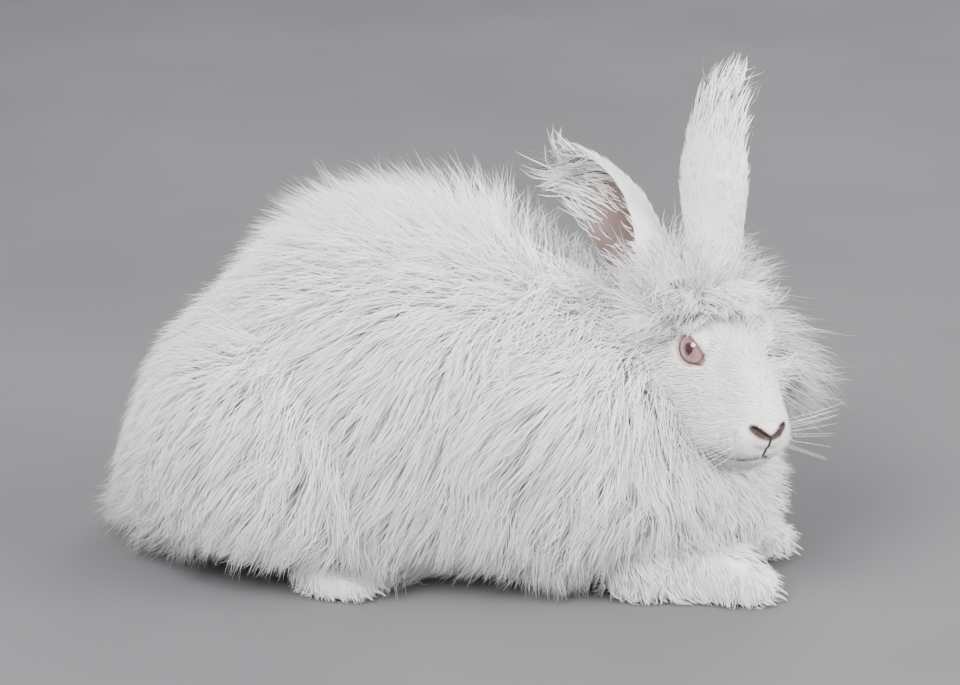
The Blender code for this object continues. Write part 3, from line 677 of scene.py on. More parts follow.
def make_ear(word):
    """The ear as a sheet rolled at its base and cupped above it, given a wall and rounded at its rim."""
    bpy.ops.object.select_all(action="DESELECT")
    bpy.ops.mesh.primitive_grid_add(x_subdivisions=18, y_subdivisions=36, size=2)
    made = bpy.context.object
    made.name = f"ear_{word}_skin"
    points = vertices_of(made)
    across, along = points[:, 0], (points[:, 1] + 1) / 2
    shares = np.array([row[0] for row in EAR_SECTIONS])
    station = np.interp(along, shares, np.arange(len(shares)))
    share, radius, wrap = curve_rows(EAR_SECTIONS, station).T
    opening, width = ear_frame(word)[2:]
    angle = np.radians(wrap) * across
    ripple = EAR_BREADTH[word] * (1 + EAR_RIPPLE * np.sin(angle * 3 + share * 9))
    ring = -opening * np.cos(angle)[:, None] + width * np.sin(angle)[:, None]
    place_vertices(made, to_frame(ear_spine(word, share) + ring * (radius * ripple)[:, None]))
    wall = made.modifiers.new("wall", "SOLIDIFY")
    wall.thickness = EAR_WALL * MM
    wall.offset = 0
    wall.use_even_offset = True
    rounding = made.modifiers.new("rounding", "SUBSURF")
    rounding.levels = 1
    rounding.render_levels = 1
    apply_all(made)
    close_faces()
    return made


def tree_of(made):
    graph = bpy.context.evaluated_depsgraph_get()
    return BVHTree.FromObject(made, graph)


def distances(tree, points, limit):
    """How far each packed-frame point is from a surface, in mm, up to a limit."""
    found = np.full(len(points), limit, float)
    for k, point in enumerate(points):
        hit = tree.find_nearest(point, limit * MM)
        if hit[0] is not None:
            found[k] = hit[3] / MM
    return found


def store(made, name, values):
    attribute = made.data.attributes.new(name, "FLOAT", "POINT")
    attribute.data.foreach_set("value", np.asarray(values, np.float32))


def groove_distance(points, line, radii):
    """Distance of each point to the wall of a groove along a fine line."""
    found = np.full(len(points), 1e9)
    for spot, radius in zip(line, spread_radii(radii, len(line))):
        found = np.minimum(found, np.linalg.norm(points - spot, axis=1) - radius)
    return found


def ear_place(points, word):
    """Share along an ear, distance from its spine and direction from it, for design points."""
    base, axis = ear_frame(word)[:2]
    share = (points - base) @ axis / EAR_LENGTH
    for _ in range(2):
        spine = ear_spine(word, share)
        share = share + (points - spine) @ axis / EAR_LENGTH
    off = points - ear_spine(word, share)
    return share, np.linalg.norm(off, axis=1), off


def ear_radius(share, word):
    shares = [row[0] for row in EAR_SECTIONS]
    return EAR_BREADTH[word] * np.interp(share, shares, [row[1] for row in EAR_SECTIONS])


def mark_skin(skin, normals, lines):
    """Stores how bare each point of the skin is and how much painted shade it has: nose, lips, lids, inner
    ears, nostrils, mouth and cleft.
    """
    points = to_design(vertices_of(skin))
    local = design_to_head(points)
    bare = np.zeros(len(points))
    painted_shade = np.zeros(len(points))
    for name, line, radii in lines:
        reach, pink, groove, dark = FACE_MARKS[name]
        close = groove_distance(local, line, radii)
        bare = np.maximum(bare, pink * np.clip(1.4 - close / reach, 0, 1))
        # Painted shade in the grooves of the nostrils, the mouth and the cleft.
        painted_shade = np.maximum(painted_shade, dark * np.clip(1.3 - close / groove, 0, 1))
    for side in (1, -1):
        eye = design_to_eye(points, side)
        rim = np.clip(3.2 - 2.4 * slit_share(eye[:, 0], eye[:, 1]), 0, 1)
        rim = rim * (eye[:, 2] > 0) * (np.linalg.norm(eye, axis=1) < 13)
        bare = np.maximum(bare, rim)
        # Painted shade along the gap between the lids.
        painted_shade = np.maximum(painted_shade, 0.35 * rim)
    for word in ("left", "right"):
        share, away, off = ear_place(points, word)
        on_ear = (share > 0.08) & (away < ear_radius(share, word) * 1.25) & (points[:, 2] > 160)
        inner = on_ear & (np.sum(normals * off, axis=1) < 0)
        bare = np.where(inner, np.clip(1.5 - 0.8 * share, 0, 0.95), bare)
        # Painted shade inside the ears, darker towards their bases and darkest in the cup of the right ear.
        cup_shade = ridge(share, 0.6, 0.28) if word == "right" else 0 * share
        painted_shade = np.where(inner, 0.45 + 0.35 * np.clip(1.0 - 1.7 * share, 0, 0.8) + 0.4 * cup_shade, painted_shade)
    store(skin, "bare", bare)
    store(skin, "painted_shade", painted_shade)


def vertex_normals(made):
    values = np.empty(len(made.data.vertices) * 3, np.float32)
    made.data.vertex_normals.foreach_get("vector", values)
    return values.reshape(-1, 3).astype(float)


def corner_arrays(made):
    """Corner points, vertex numbers and areas of the skin's triangles."""
    made.data.calc_loop_triangles()
    corners = np.empty(len(made.data.loop_triangles) * 3, np.int32)
    made.data.loop_triangles.foreach_get("vertices", corners)
    corners = corners.reshape(-1, 3)
    points = vertices_of(made)[corners]
    areas = np.linalg.norm(np.cross(points[:, 1] - points[:, 0], points[:, 2] - points[:, 0]), axis=1) / 2
    return corners, points, areas


def body_unwrap(points):
    """Place on the unwrap of the skin: round the trunk and along it, with the head beside it."""
    round_trunk = np.arctan2(points[:, 1], points[:, 2] - 80) / math.tau + 0.5
    along_trunk = (points[:, 0] + 220) / 440
    local = design_to_head(points)
    round_head = np.arctan2(local[:, 1], local[:, 2] + 20) / math.tau + 0.5
    along_head = (local[:, 0] + 120) / 190
    on_head = np.linalg.norm(local + np.array((5, 0, 15)), axis=1) < 75
    u = np.where(on_head, 0.64 + 0.34 * round_head, 0.02 + 0.6 * round_trunk)
    v = np.where(on_head, 0.02 + 0.6 * along_head, 0.02 + 0.96 * along_trunk)
    return np.stack([u, np.clip(v, 0.01, 0.99)], 1)


def scatter(made, count, weights):
    """Random packed-frame points on a surface and the normals there, by a density for each triangle."""
    corners, points, areas = corner_arrays(made)
    odds = areas * weights
    picked = rng.choice(len(areas), size=count, p=odds / odds.sum())
    a, b = np.sort(rng.random((2, count)), axis=0)
    p, q, r = points[picked].transpose(1, 0, 2)
    spots = p * a[:, None] + q * (b - a)[:, None] + r * (1 - b)[:, None]
    normals = vertex_normals(made)[corners[picked]].mean(1)
    return spots, unit(normals)


def step(low, high, values):
    t = np.clip((values - low) / (high - low), 0, 1)
    return t * t * (3 - 2 * t)


def mixed(a, b, share):
    """From the rows of a to those of b by a share for each row."""
    return a * (1 - share[:, None]) + b * share[:, None]


def swirl(points, size):
    """A smooth irregular direction at each place, that turns over about this many mm."""
    x, y, z = points.T / size
    return np.stack([
        np.sin(x * 1.3 + 2.1 * np.sin(y * 0.9 + z * 0.7)),
        np.sin(y * 1.1 + z * 1.4 + 1.7 * np.sin(x * 0.8)),
        np.sin(z * 1.2 + x * 0.9 + 2.0 * np.sin(y * 1.1 + x * 0.5)),
    ], 1)


def body_coat(points, normals):
    """Length, half width, stand, lie and droop of the long wool, at design places.

    Each word below names a region of the body, and is 1 inside it and 0 well outside it.
    """
    x, _, z = points.T
    flat = 1 - np.abs(normals[:, 2])
    beside = np.abs(normals[:, 1])
    front = step(60, 120, x) * np.maximum(0, normals[:, 0] + 0.3) * (1 - 0.85 * step(80, 120, z))
    low = 1 - step(6, 80, z)
    chest = step(80, 125, x) * (1 - step(60, 105, z))
    nape = step(40, 70, x) * step(120, 145, z)
    rear = 1 - step(-165, -75, x)
    crest = np.clip(normals[:, 2], 0, 1) * (1 - nape)
    hip = low * (1 - step(-80, -50, x)) * step(-150, -125, x)
    slope = ridge(x, -118, 30) * step(105, 150, z)
    heel = low * (1 - step(-175, -135, x))
    collar = step(55, 90, x) * step(85, 112, z)
    recess = ridge(x, 18, 24) * (1 - step(40, 85, z)) * beside
    fold = ridge(z, 118, 13) * step(12, 34, x) * (1 - step(88, 108, x)) * beside
    side = step(0.3, 0.9, beside) * (1 - low)
    length = 53 - 25 * low - 19 * rear * (1 - 0.7 * low) - 26 * chest * (1 - 0.7 * low)
    length = length - 19 * nape - 3 * side
    length = length - crest * (6 + 5 * rear) - 6 * recess + 9 * fold - 13 * hip
    length = np.maximum(length - 9 * slope + 14 * heel - 8 * collar, 8)
    stand = 0.9 - 0.5 * low + 0.2 * crest - 0.5 * nape + 0.35 * fold + 0.4 * heel - 0.25 * collar
    drop = -0.12 - 0.8 * flat * (1 - 0.6 * low * rear)
    lie = np.stack([-0.45 - 0.2 * flat + 1.1 * front - 0.5 * heel, 0.25 * normals[:, 1], drop], 1)
    lie = lie + 0.3 * swirl(points, 21) * (1.3 - normals[:, 2:])
    return length, np.full(len(x), 0.35), stand, lie, 0.2 + 0.4 * flat


def head_coat(points):
    """The same for the head: short on the muzzle and round the eyes, and wool on the crown and cheeks."""
    local = design_to_head(points)
    forward, side, up = local.T
    none = np.zeros(len(points))
    spread = np.clip(side / 14, -1, 1)
    away = step(-4, 12, side)
    crown = step(1, 12, up + 0.12 * np.abs(side)) * (1 - step(-5, 8, forward))
    cheek = (1 - step(-30, 16, forward + 0.35 * np.abs(up + 12) - 12 * away)) * (1 - crown)
    throat = (1 - step(-66, -57, up + 0.35 * np.maximum(0, 22 - forward))) * step(50, 34, forward)
    bangs = crown * step(-34, -12, forward)
    places = [np.array((EYE_PLACE[0], sign * EYE_PLACE[1], 0)) for sign in (1, -1)]
    eye = np.minimum(*[np.linalg.norm(local - place, axis=1) for place in places])
    nose = np.linalg.norm(local - np.array((50, 0, -38)), axis=1)
    short = np.clip(2.0 + 0.15 * nose, 2.0, 9) * (0.45 + 0.55 * step(9, 16, eye))
    short = short * (1 + 0.7 * step(8, 20, side))
    middle = step(-6, -22, up) * (1 - step(-30, -46, up))
    fringe = (32 + away * (11 * middle + 12)) * (1 - 0.5 * away * step(-30, -46, up))
    length = short + cheek * fringe * step(11, 24, eye)
    wool = (46 - 14 * bangs - 8 * step(2, 14, side)) * (0.4 + 0.6 * step(11, 31, eye))
    length = length * (1 - crown) + crown * wool
    length = length * (1 - throat) + throat * 32
    long_share = np.clip(length / 30, 0, 1)
    stand = 0.28 + cheek * (0.2 + 1.2 * away) + 0.75 * crown - 0.15 * bangs + 0.5 * throat
    face_lie = np.stack([none - 1, 0.5 * spread, 0.1 - 0.5 * step(0, -40, up)], 1)
    cheek_lie = np.stack([none - 0.6 + 0.5 * away, 0.5 * spread, none - 0.5 + 0.35 * away], 1)
    crown_lie = np.stack([0.1 + 0.8 * bangs, 0.4 * spread, 0.6 - 1.15 * bangs], 1)
    lie = mixed(face_lie, cheek_lie, np.clip(1.6 * np.maximum(cheek, throat), 0, 1))
    lie = mixed(lie, crown_lie, crown)
    return length, 0.28 + 0.14 * long_share, stand, lie @ np.array(head_turn()).T, 0.1 + 0.2 * long_share


def paw_coat(points, normals):
    x, y, z = points.T
    upper = step(8, 30, z)
    rear = np.where(x > 0, 1 - step(96, 138, x), 1 - step(-112, -62, x))
    outer = step(0.2, 0.9, normals[:, 1] * np.sign(y))
    fore = x > 0
    length = 7 + 5 * upper + 3 * rear + np.where(fore, 2, 1) * outer * (1 - 0.5 * upper)
    lie = np.stack([0.9 - 0.3 * outer, 0.35 * normals[:, 1], -0.45 - 0.4 * outer], 1)
    lie = lie + 0.35 * swirl(points, 9)
    return length, 0.34 + 0.12 * rear, 0.42 + 0.3 * rear, lie, 0.2 + 0 * x


def ear_coat(points, normals, word):
    """Short fur on the ear's back, hairs on its rim and tufts at its tip."""
    _, axis, _, width = ear_frame(word)
    share, _, off = ear_place(points, word)
    inner = np.sum(normals * off, axis=1) < 0
    tip = step(0.62, 1.0, share)
    length = 7.5 + 14 * tip + 10 * (1 - step(0.05, 0.25, share))
    length = np.where(inner, length * 0.9 + 5, length)
    sideways = (off @ width / np.maximum(ear_radius(share, word), 1))[:, None] * width
    lie = axis + sideways * (0.15 + 0.5 * tip[:, None])
    stand = np.where(inner, 0.4, 0.22) + 0.1 * tip
    return length, 0.34 + 0.2 * tip, stand, lie, 0.0 * share


def tuft_paths(roots, normals, length, stand, lie, droop, rings):
    """Points of each tuft at evenly spaced shares of its length, from the root to the tip."""
    lie = lie - normals * np.sum(normals * lie, axis=1)[:, None]
    first = unit(normals * stand[:, None] + lie * 0.5)
    last = unit(normals * stand[:, None] * 0.4 + lie - np.array((0, 0, 1.0)) * droop[:, None])
    start = roots - normals * 1.0
    knee = start + first * (length * 0.55)[:, None]
    tip = knee + last * (length * 0.6)[:, None]
    t = np.linspace(0, 1, rings + 1)[None, :, None]
    return start[:, None] * (1 - t) ** 2 + 2 * knee[:, None] * t * (1 - t) + tip[:, None] * t**2


def nearest_seed(roots, seeds):
    tree = KDTree(len(seeds))
    for k, seed in enumerate(seeds):
        tree.insert(seed, k)
    tree.balance()
    return np.array([tree.find(root)[1] for root in roots])


def spread_seeds(roots, spacing):
    """Picks roots that lie at least a spacing apart, through a coarse grid."""
    taken, seeds = {}, []
    for k, root in enumerate(roots):
        cell = tuple(np.floor(root / spacing).astype(int))
        if cell in taken:
            continue
        taken[cell] = True
        seeds.append(k)
    return np.array(seeds)


def soften(mesh, leaning):
    """Leans the shading of the tufts towards the coat's surface, so that it shades as one soft mass."""
    own = np.empty(len(mesh.vertices) * 3, np.float32)
    mesh.vertex_normals.foreach_get("vector", own)
    own = own.reshape(-1, 3)
    share = SOFTNESS * np.clip(0.5 + np.sum(own * leaning, axis=1, keepdims=True), 0, 1)
    mesh.normals_split_custom_set_from_vertices(unit(own + share * leaning))


def tuft_points(paths, normals, width, shares):
    """Three points round each tuft at these shares of its path, and then its tip."""
    along = np.gradient(paths, axis=1)
    across = unit(np.cross(along, normals[:, None]))
    over = unit(np.cross(across, along))
    taper = np.array([ROOT_WIDTH] + [1.0 - TIP_TAPER * share**TAPER_POWER for share in shares[1:]])
    half = width[:, None, None] * taper[None, :, None]
    body = paths[:, :-1]
    side, rise = across[:, :-1] * half, over[:, :-1] * half * TUFT_THICKNESS
    ring = np.stack([body + side, body + rise, body - side], 2)
    return np.concatenate([ring.reshape(len(paths), 3 * len(shares), 3), paths[:, -1:]], 1)


def tuft_faces(rings):
    """The faces of one tuft as point numbers: along it, at its tip and at its root."""
    sides = ((0, 1), (1, 2), (2, 0))
    last, tip = 3 * (rings - 1), 3 * rings
    faces = [(k + a, k + 3 + a, k + 3 + b, k + b) for k in range(0, last, 3) for a, b in sides]
    faces += [(last + a, tip, last + b) for a, b in sides]
    return faces + [(0, 1, 2)]


def map_tufts(mesh, places, level, corners):
    """Gives each tuft a patch of the bake map, at its root's place on the unwrap of the skin."""
    round_tuft = np.append(np.tile([0.0, 0.5, 1.0], len(level) // 3), 0.5)
    u = (places[:, :1] + BAKE_PATCH * (round_tuft[None] - 0.5)).ravel()
    v = (places[:, 1:] + BAKE_PATCH * (level[None] - 0.5)).ravel()
    layer = mesh.uv_layers.new(name="OFBake")
    layer.uv.foreach_set("vector", np.stack([u[corners], v[corners]], 1).astype(np.float32).ravel())


def tuft_mesh(name, paths, normals, width, roots, tone, mouth_shade_and_spots):
    """Joins tapered three-sided tufts into one mesh, with the values that their finish reads."""
    count, rings = paths.shape[0], paths.shape[1] - 1
    shares = np.linspace(0, 1, rings + 1)[:-1]
    level = np.append(np.repeat(shares, 3), 1.0)
    faces = tuft_faces(rings)
    pattern = np.array([corner for face in faces for corner in face])
    corners = (np.arange(count)[:, None] * len(level) + pattern[None]).ravel()
    sizes = np.tile([len(face) for face in faces], count)
    starts = np.concatenate([[0], np.cumsum(sizes)[:-1]])
    mesh = bpy.data.meshes.new(name)
    mesh.vertices.add(count * len(level))
    mesh.vertices.foreach_set("co", to_frame(tuft_points(paths, normals, width, shares)).ravel())
    mesh.loops.add(len(corners))
    mesh.loops.foreach_set("vertex_index", corners.astype(np.int32))
    mesh.polygons.add(len(sizes))
    mesh.polygons.foreach_set("loop_start", starts.astype(np.int32))
    mesh.update(calc_edges=True)
    mesh.validate()
    mesh.shade_smooth()
    soften(mesh, np.repeat(normals, len(level), axis=0))
    made = bpy.data.objects.new(name, mesh)
    bpy.context.scene.collection.objects.link(made)
    store(made, "level", np.tile(level, count))
    store(made, "tone", np.repeat(tone, len(level)))
    store(made, "mouth_shade_and_spots", np.repeat(mouth_shade_and_spots, len(level)))
    map_tufts(mesh, body_unwrap(roots), level, corners)
    return made


def find_mouth_shade_and_spots(points):
    """How grey the fur is: painted shade at the corners of the mouth, and a little grey where the whiskers
    stand.
    """
    local = design_to_head(points)
    local[:, 1] = np.abs(local[:, 1])
    # Painted shade at the corner of the mouth.
    corner = spot_share(local, mouth_line(1)[MOUTH_SHADE_POINT], MOUTH_SHADE_RADIUS)
    beds = np.max([spot_share(local, place, WHISKER_BED_RADIUS) for place in WHISKER_BEDS], axis=0)
    return np.maximum(0.8 * corner, 0.4 * beds)


def waves(t, phase, turns, reach):
    """Sideways waves of tufts, that grow from the root to the tip."""
    return np.sin(phase + t * turns * math.tau) * reach[:, None, None] * t


def lift_off_floor(paths, normals):
    """Bends tufts outwards and up where they would come too near to the floor."""
    low = FLOOR_CLEAR + FLOOR_SPREAD * rng.random((len(paths), 1))
    deficit = np.maximum(0, low - paths[:, :, 2])
    outward = normals * np.array((1, 1, 0))
    paths = paths + deficit[:, :, None] * outward[:, None] * 0.7
    paths[:, :, 2] = np.maximum(paths[:, :, 2], low)
    return paths


def comb(name, roots, normals, coat, rings, gather, spacing, frizz, curl=0.0, keep=None):
    """Grows tufts from design roots. Those of one lock gather towards its middle and curl together."""
    length, width, stand, lie, droop = coat
    count = len(roots)
    long = length * rng.uniform(*LENGTH_SPREAD, count)
    risen = stand * rng.uniform(*STAND_SPREAD, count)
    jitter = rng.normal(0, LIE_SPREAD, (count, 3))
    paths = tuft_paths(roots, normals, long, risen, lie + jitter, droop, rings)
    seeds = spread_seeds(roots, spacing)
    owner = nearest_seed(roots, roots[seeds])
    swing = rng.normal(0, LOCK_SWING, (len(seeds), 3))
    size = rng.uniform(*LOCK_SIZES, len(seeds))
    own = (roots[seeds], normals[seeds], length[seeds] * size, stand[seeds], lie[seeds] + swing)
    core = tuft_paths(*own, droop[seeds], rings)
    t = np.linspace(0, 1, rings + 1)[None, :, None]
    stray = rng.random(count) < STRAYS
    pull = np.where(stray, 0.1, gather * rng.uniform(*GATHER_SPREAD, count))[:, None, None]
    paths = paths + (core[owner] - paths) * pull * t**1.3
    phase = rng.uniform(0, math.tau, (count, 1, 3))
    turns = rng.uniform(*FRIZZ_WAVES, (count, 1, 3))
    paths = paths + waves(t, phase, turns, frizz * long)
    phase = rng.uniform(0, math.tau, (len(seeds), 1, 3))[owner]
    turns = rng.uniform(*CURL_WAVES, (len(seeds), 1, 1))[owner]
    paths = paths + waves(t, phase, turns, curl * long)
    paths = lift_off_floor(paths, normals)
    width = np.where(stray, width * 0.4, width * rng.uniform(*WIDTH_SPREAD, count))
    tone = rng.random(count)
    if keep is not None:
        good = keep(paths)
        paths, normals, width = paths[good], normals[good], width[good]
        roots, tone = roots[good], tone[good]
    return tuft_mesh(name, paths, normals, width, roots, tone, find_mouth_shade_and_spots(roots))


def ear_view_place(points):
    """Share along the right ear, distance from it towards its open view, and distance across."""
    base, axis = ear_frame("right")[:2]
    view = unit(EAR_VIEW - axis * (EAR_VIEW @ axis))
    flat = points.reshape(-1, 3)
    share = (flat - base) @ axis / EAR_LENGTH
    off = flat - ear_spine("right", share)
    shape = points.shape[:-1]
    return share.reshape(shape), (off @ view).reshape(shape), (off @ np.cross(axis, view)).reshape(shape)


def in_eye(paths, side):
    """The points of tufts in the frame of an eye."""
    return design_to_eye(paths.reshape(-1, 3), side).reshape(paths.shape)


def before_eyes(paths):
    """Which tufts stand right before an eye."""
    found = np.zeros(len(paths), bool)
    for side in (1, -1):
        eye = in_eye(paths, side)
        before = (np.abs(eye[:, :, 0]) < 10.5) & (np.abs(eye[:, :, 1]) < 7.6) & (eye[:, :, 2] > 5)
        near = np.linalg.norm(eye, axis=2) < 22
        found |= (before & near).any(1)
    return found


def before_ear(paths):
    """Which tufts stand before the open side of the right ear."""
    share, near, across = ear_view_place(paths)
    blocking = (share > 0.16) & (share < 1.0) & (near > -6) & (near < EAR_CLEAR)
    return (blocking & (np.abs(across) < ear_radius(share, "right") - 2)).any(1)


def enters(tree, path):
    """Whether a packed-frame path has a point inside a closed surface."""
    for point in path:
        spot, normal = tree.find_nearest(point)[:2]
        if (Vector(point) - spot).dot(normal) < 0:
            return True
    return False


def clear_of_face(head_tree):
    """A test that tufts keep out of the head, off the eyes and off the open side of the right ear."""
    middle = np.array(HEAD_PLACE) + np.array(head_turn() @ Vector((-5, 0, -18)))

    def keep(paths):
        good = ~(before_eyes(paths) | before_ear(paths))
        close = np.linalg.norm(paths - middle, axis=2).min(1) < 62
        for k in np.nonzero(close & good)[0]:
            good[k] = not enters(head_tree, to_frame(paths[k, 2:]))
        return good

    return keep


def off_eyes(paths):
    """A test that tufts keep off the eyes, at their points and halfway between them."""
    good = np.ones(len(paths), bool)
    paths = np.concatenate([paths, (paths[:, 1:] + paths[:, :-1]) / 2], 1)
    for side in (1, -1):
        eye = in_eye(paths, side)
        away, ahead = slit_share(eye[:, :, 0], eye[:, :, 1]), eye[:, :, 2]
        good &= ~((away < 1.03) & (ahead > 4) & (ahead < 25)).any(1)
        good &= ~((away < 1.25) & (ahead > EYE_RADIUS + 3) & (ahead < 40)).any(1)
    return good


def make_eye(side, word):
    """The eyeball with a bulging cornea. Its rings run from the pupil outwards."""
    made = ball(f"eye_{word}_ball", 96, 96)
    points = vertices_of(made)
    ahead = points[:, 2] * math.cos(PUPIL_RISE) + points[:, 1] * math.sin(PUPIL_RISE)
    ring = np.degrees(np.arccos(np.clip(ahead, -1, 1)))
    turn = np.arctan2(points[:, 1], points[:, 0])
    oval = 1 + 0.18 * np.cos(2 * (turn + side * EYE_SLIT_TILT)) * np.clip(1.4 - ring / 40, 0, 1)
    store(made, "ring", ring * oval)
    store(made, "turn", turn)
    dome = np.maximum(0, points[:, 2] - 0.75)
    points = points * EYE_RADIUS
    points[:, 2] += dome * 3.2
    place_vertices(made, to_frame(eye_to_design(points, side)))
    made.data.shade_smooth()
    return made


def make_lid_rim(side, word):
    """The thin bare edge of the lids, along the gap between them."""
    angle = np.linspace(0, math.tau, LID_RIM_POINTS)[:-1]
    x, y = almond_outline(np.cos(angle), np.sin(angle), LID_RIM_GROWTH)
    z = np.sqrt(np.maximum((EYE_RADIUS + LID_RIM_RISE) ** 2 - x**2 - y**2, 1))
    points = eye_to_design(np.stack([x, y, z], 1), side)
    closed = np.concatenate([points, points[:1]])
    made = bead(f"lid_rim_{word}", closed, np.full(len(closed), LID_RIM_RADIUS))
    made.data.shade_smooth()
    return made


class Value:
    """A shader value that works in expressions, each adding its Math node."""

    def __init__(self, finish, socket):
        self.finish = finish
        self.socket = socket

    def maths(self, operation, *terms):
        return self.finish.node("ShaderNodeMath", {"operation": operation}, dict(enumerate(terms)))

    def __add__(self, other):
        return self.maths("ADD", self, other)

    def __sub__(self, other):
        return self.maths("SUBTRACT", self, other)

    def __rsub__(self, other):
        return self.maths("SUBTRACT", other, self)

    def __mul__(self, other):
        return self.maths("MULTIPLY", self, other)

    __radd__ = __add__
    __rmul__ = __mul__

    def __pow__(self, other):
        return self.maths("POWER", self, other)


class Finish:
    """A material and the one way in which its nodes are added."""

    def __init__(self, name, colour, roughness, **constants):
        self.material = bpy.data.materials.new(name)
        self.material.use_nodes = True
        self.tree = self.material.node_tree
        self.shader = self.tree.nodes["Principled BSDF"]
        self.shader.inputs["Base Color"].default_value = (*colour, 1)
        self.shader.inputs["Roughness"].default_value = roughness
        for key, value in constants.items():
            self.shader.inputs[key.replace("_", " ").title()].default_value = value

    def node(self, kind, settings=None, sockets=None, output=0):
        """Adds a node: its settings first, then the values or links of its sockets."""
        made = self.tree.nodes.new(kind)
        for key, value in (settings or {}).items():
            setattr(made, key, value)
        for key, value in (sockets or {}).items():
            if isinstance(value, Value):
                self.tree.links.new(value.socket, made.inputs[key])
            else:
                made.inputs[key].default_value = value
        return Value(self, made.outputs[output])

    def ramp(self, value, stops):
        made = self.node("ShaderNodeValToRGB", None, {0: value})
        elements = made.socket.node.color_ramp.elements
        while len(elements) < len(stops):
            elements.new(0.5)
        for element, (place, colour) in zip(elements, stops):
            element.position = place
            element.color = (*colour, 1)
        return made

    def mix(self, share, a, b):
        def colour(item):
            return item if isinstance(item, Value) else (*item, 1)

        return self.node("ShaderNodeMix", {"data_type": "RGBA"}, {0: share, 6: colour(a), 7: colour(b)}, 2)

    def attribute(self, name):
        return self.node("ShaderNodeAttribute", {"attribute_name": name}, output=2)

    def place(self):
        return self.node("ShaderNodeTexCoord", output=3)

    def noise(self, scale):
        sockets = {"Vector": self.place(), "Scale": scale, "Detail": 3.0}
        return self.node("ShaderNodeTexNoise", None, sockets)

    def paint(self, **sockets):
        for key, value in sockets.items():
            self.tree.links.new(value.socket, self.shader.inputs[key.replace("_", " ").title()])
        return self.material


def wool_finish():
    """White wool: a little cream and darker at the roots, each tuft a shade of its own."""
    finish = Finish("white_wool_coat", (0.9, 0.9, 0.88), 0.8, sheen_weight=0.2, sheen_roughness=0.5)
    level = finish.attribute("level")
    tone = finish.attribute("tone")
    patches = finish.noise(14.0)
    light = level * 0.5 + tone * 0.3 + patches * 0.35
    shades = [(0.0, (0.90, 0.885, 0.86)), (0.4, (0.945, 0.94, 0.925)), (0.8, (0.97, 0.968, 0.96))]
    # Grey mixed into the wool: painted shade at the corners of the mouth and grey spots on the whisker
    # beds.
    colour = finish.mix(finish.attribute("mouth_shade_and_spots"), finish.ramp(light, shades), (0.3, 0.28, 0.26))
    return finish.paint(base_color=colour)


def skin_finish():
    """Short white fur over the skin, bare and pink on the nose, the lips, the lids and inside the ears,
    with painted shade in its grooves, along the lids and inside the ears.
    """
    finish = Finish("white_fur_skin", (0.9, 0.89, 0.87), 0.7)
    bare = finish.attribute("bare")
    painted_shade = finish.attribute("painted_shade")
    grain = finish.noise(900.0)
    patches = finish.noise(60.0)
    fur = finish.ramp(patches, [(0.3, (0.80, 0.775, 0.74)), (0.7, (0.91, 0.90, 0.88))])
    pink = finish.ramp(patches, [(0.3, (0.62, 0.38, 0.35)), (0.7, (0.74, 0.50, 0.46))])
    colour = finish.mix(bare, fur, pink)
    # Painted shade: grooves, lids and inner ears darkened towards near black.
    colour = finish.mix(painted_shade, colour, (0.035, 0.018, 0.016))
    rough = 0.75 - bare * 0.25
    bump = finish.node("ShaderNodeBump", None, {"Strength": 0.35, "Distance": 0.0004, "Height": grain})
    return finish.paint(base_color=colour, roughness=rough, normal=bump)


def eye_finish():
    """A pale pink iris with fine rays round a dark red pupil, under a wet cornea."""
    finish = Finish("pink_eye_wet", (0.5, 0.2, 0.2), 0.06, coat_weight=1.0, coat_roughness=0.02)
    ring = finish.attribute("ring")
    turn = finish.attribute("turn")
    rays = finish.node("ShaderNodeTexNoise", {"noise_dimensions": "1D"}, {"W": turn * 9.0, "Scale": 1.6})
    share = ring * (1 / 90) + rays * 0.03 - 0.015
    pupil, iris = PUPIL_ANGLE / 90, IRIS_ANGLE / 90
    stops = [
        (0.0, (0.035, 0.008, 0.010)),
        (pupil, (0.05, 0.010, 0.012)),
        (pupil + 0.03, (0.27, 0.13, 0.13)),
        (iris - 0.1, (0.42, 0.27, 0.27)),
        (iris, (0.12, 0.06, 0.06)),
        (iris + 0.1, (0.50, 0.38, 0.36)),
    ]
    return finish.paint(base_color=finish.ramp(share, stops))


def whisker_finish():
    finish = Finish("whisker_hair", (0.8, 0.79, 0.77), 0.35)
    shades = [(0.0, (0.55, 0.53, 0.50)), (1.0, (0.9, 0.89, 0.87))]
    return finish.paint(base_color=finish.ramp(finish.attribute("level"), shades))


def grained_finish(name):
    """One colour that varies between two shades of it with a grain."""
    colour, roughness, scale, dark, light = GRAINED[name]
    finish = Finish(name, colour, roughness)
    shades = finish.ramp(finish.noise(scale), [(0.3, dark), (0.7, light)])
    return finish.paint(base_color=shades)


def give(made, material, slot, *replaced):
    made.data.materials.clear()
    made.data.materials.append(material)
    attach(made, "root")
    if replaced:
        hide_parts(*replaced)
    return made


def make_skin():
    """One skin for the whole animal, with search trees for its head, paws and ears."""
    head, lines = make_head_skin()
    paws = make_paw_skin()
    trees = {"head": tree_of(head), "paws": tree_of(paws)}
    skin = boolean(make_body_skin(), paws, "UNION")
    skin = boolean(skin, head, "UNION")
    for word in ("left", "right"):
        ear = make_ear(word)
        trees[word] = tree_of(ear)
        skin = boolean(skin, ear, "UNION")
    skin.name = "rabbit_skin"
    skin.data.shade_smooth()
    return skin, trees, lines


def triangle_regions(skin, trees):
    """Which part of the animal each triangle of the skin belongs to."""
    middles = corner_arrays(skin)[1].mean(1)
    design = to_design(middles)
    region = np.full(len(middles), "body", dtype="U8")
    near_head = np.linalg.norm(design - np.array(HEAD_PLACE), axis=1) < 110
    low, high = design[:, 2] < 45, design[:, 2] > 150
    for name, box in (("head", near_head), ("paws", low), ("left", high), ("right", high)):
        chosen = np.nonzero(box)[0]
        near = distances(trees[name], middles[chosen], 2) < REGION_REACH[name]
        region[chosen[near]] = name
    return region


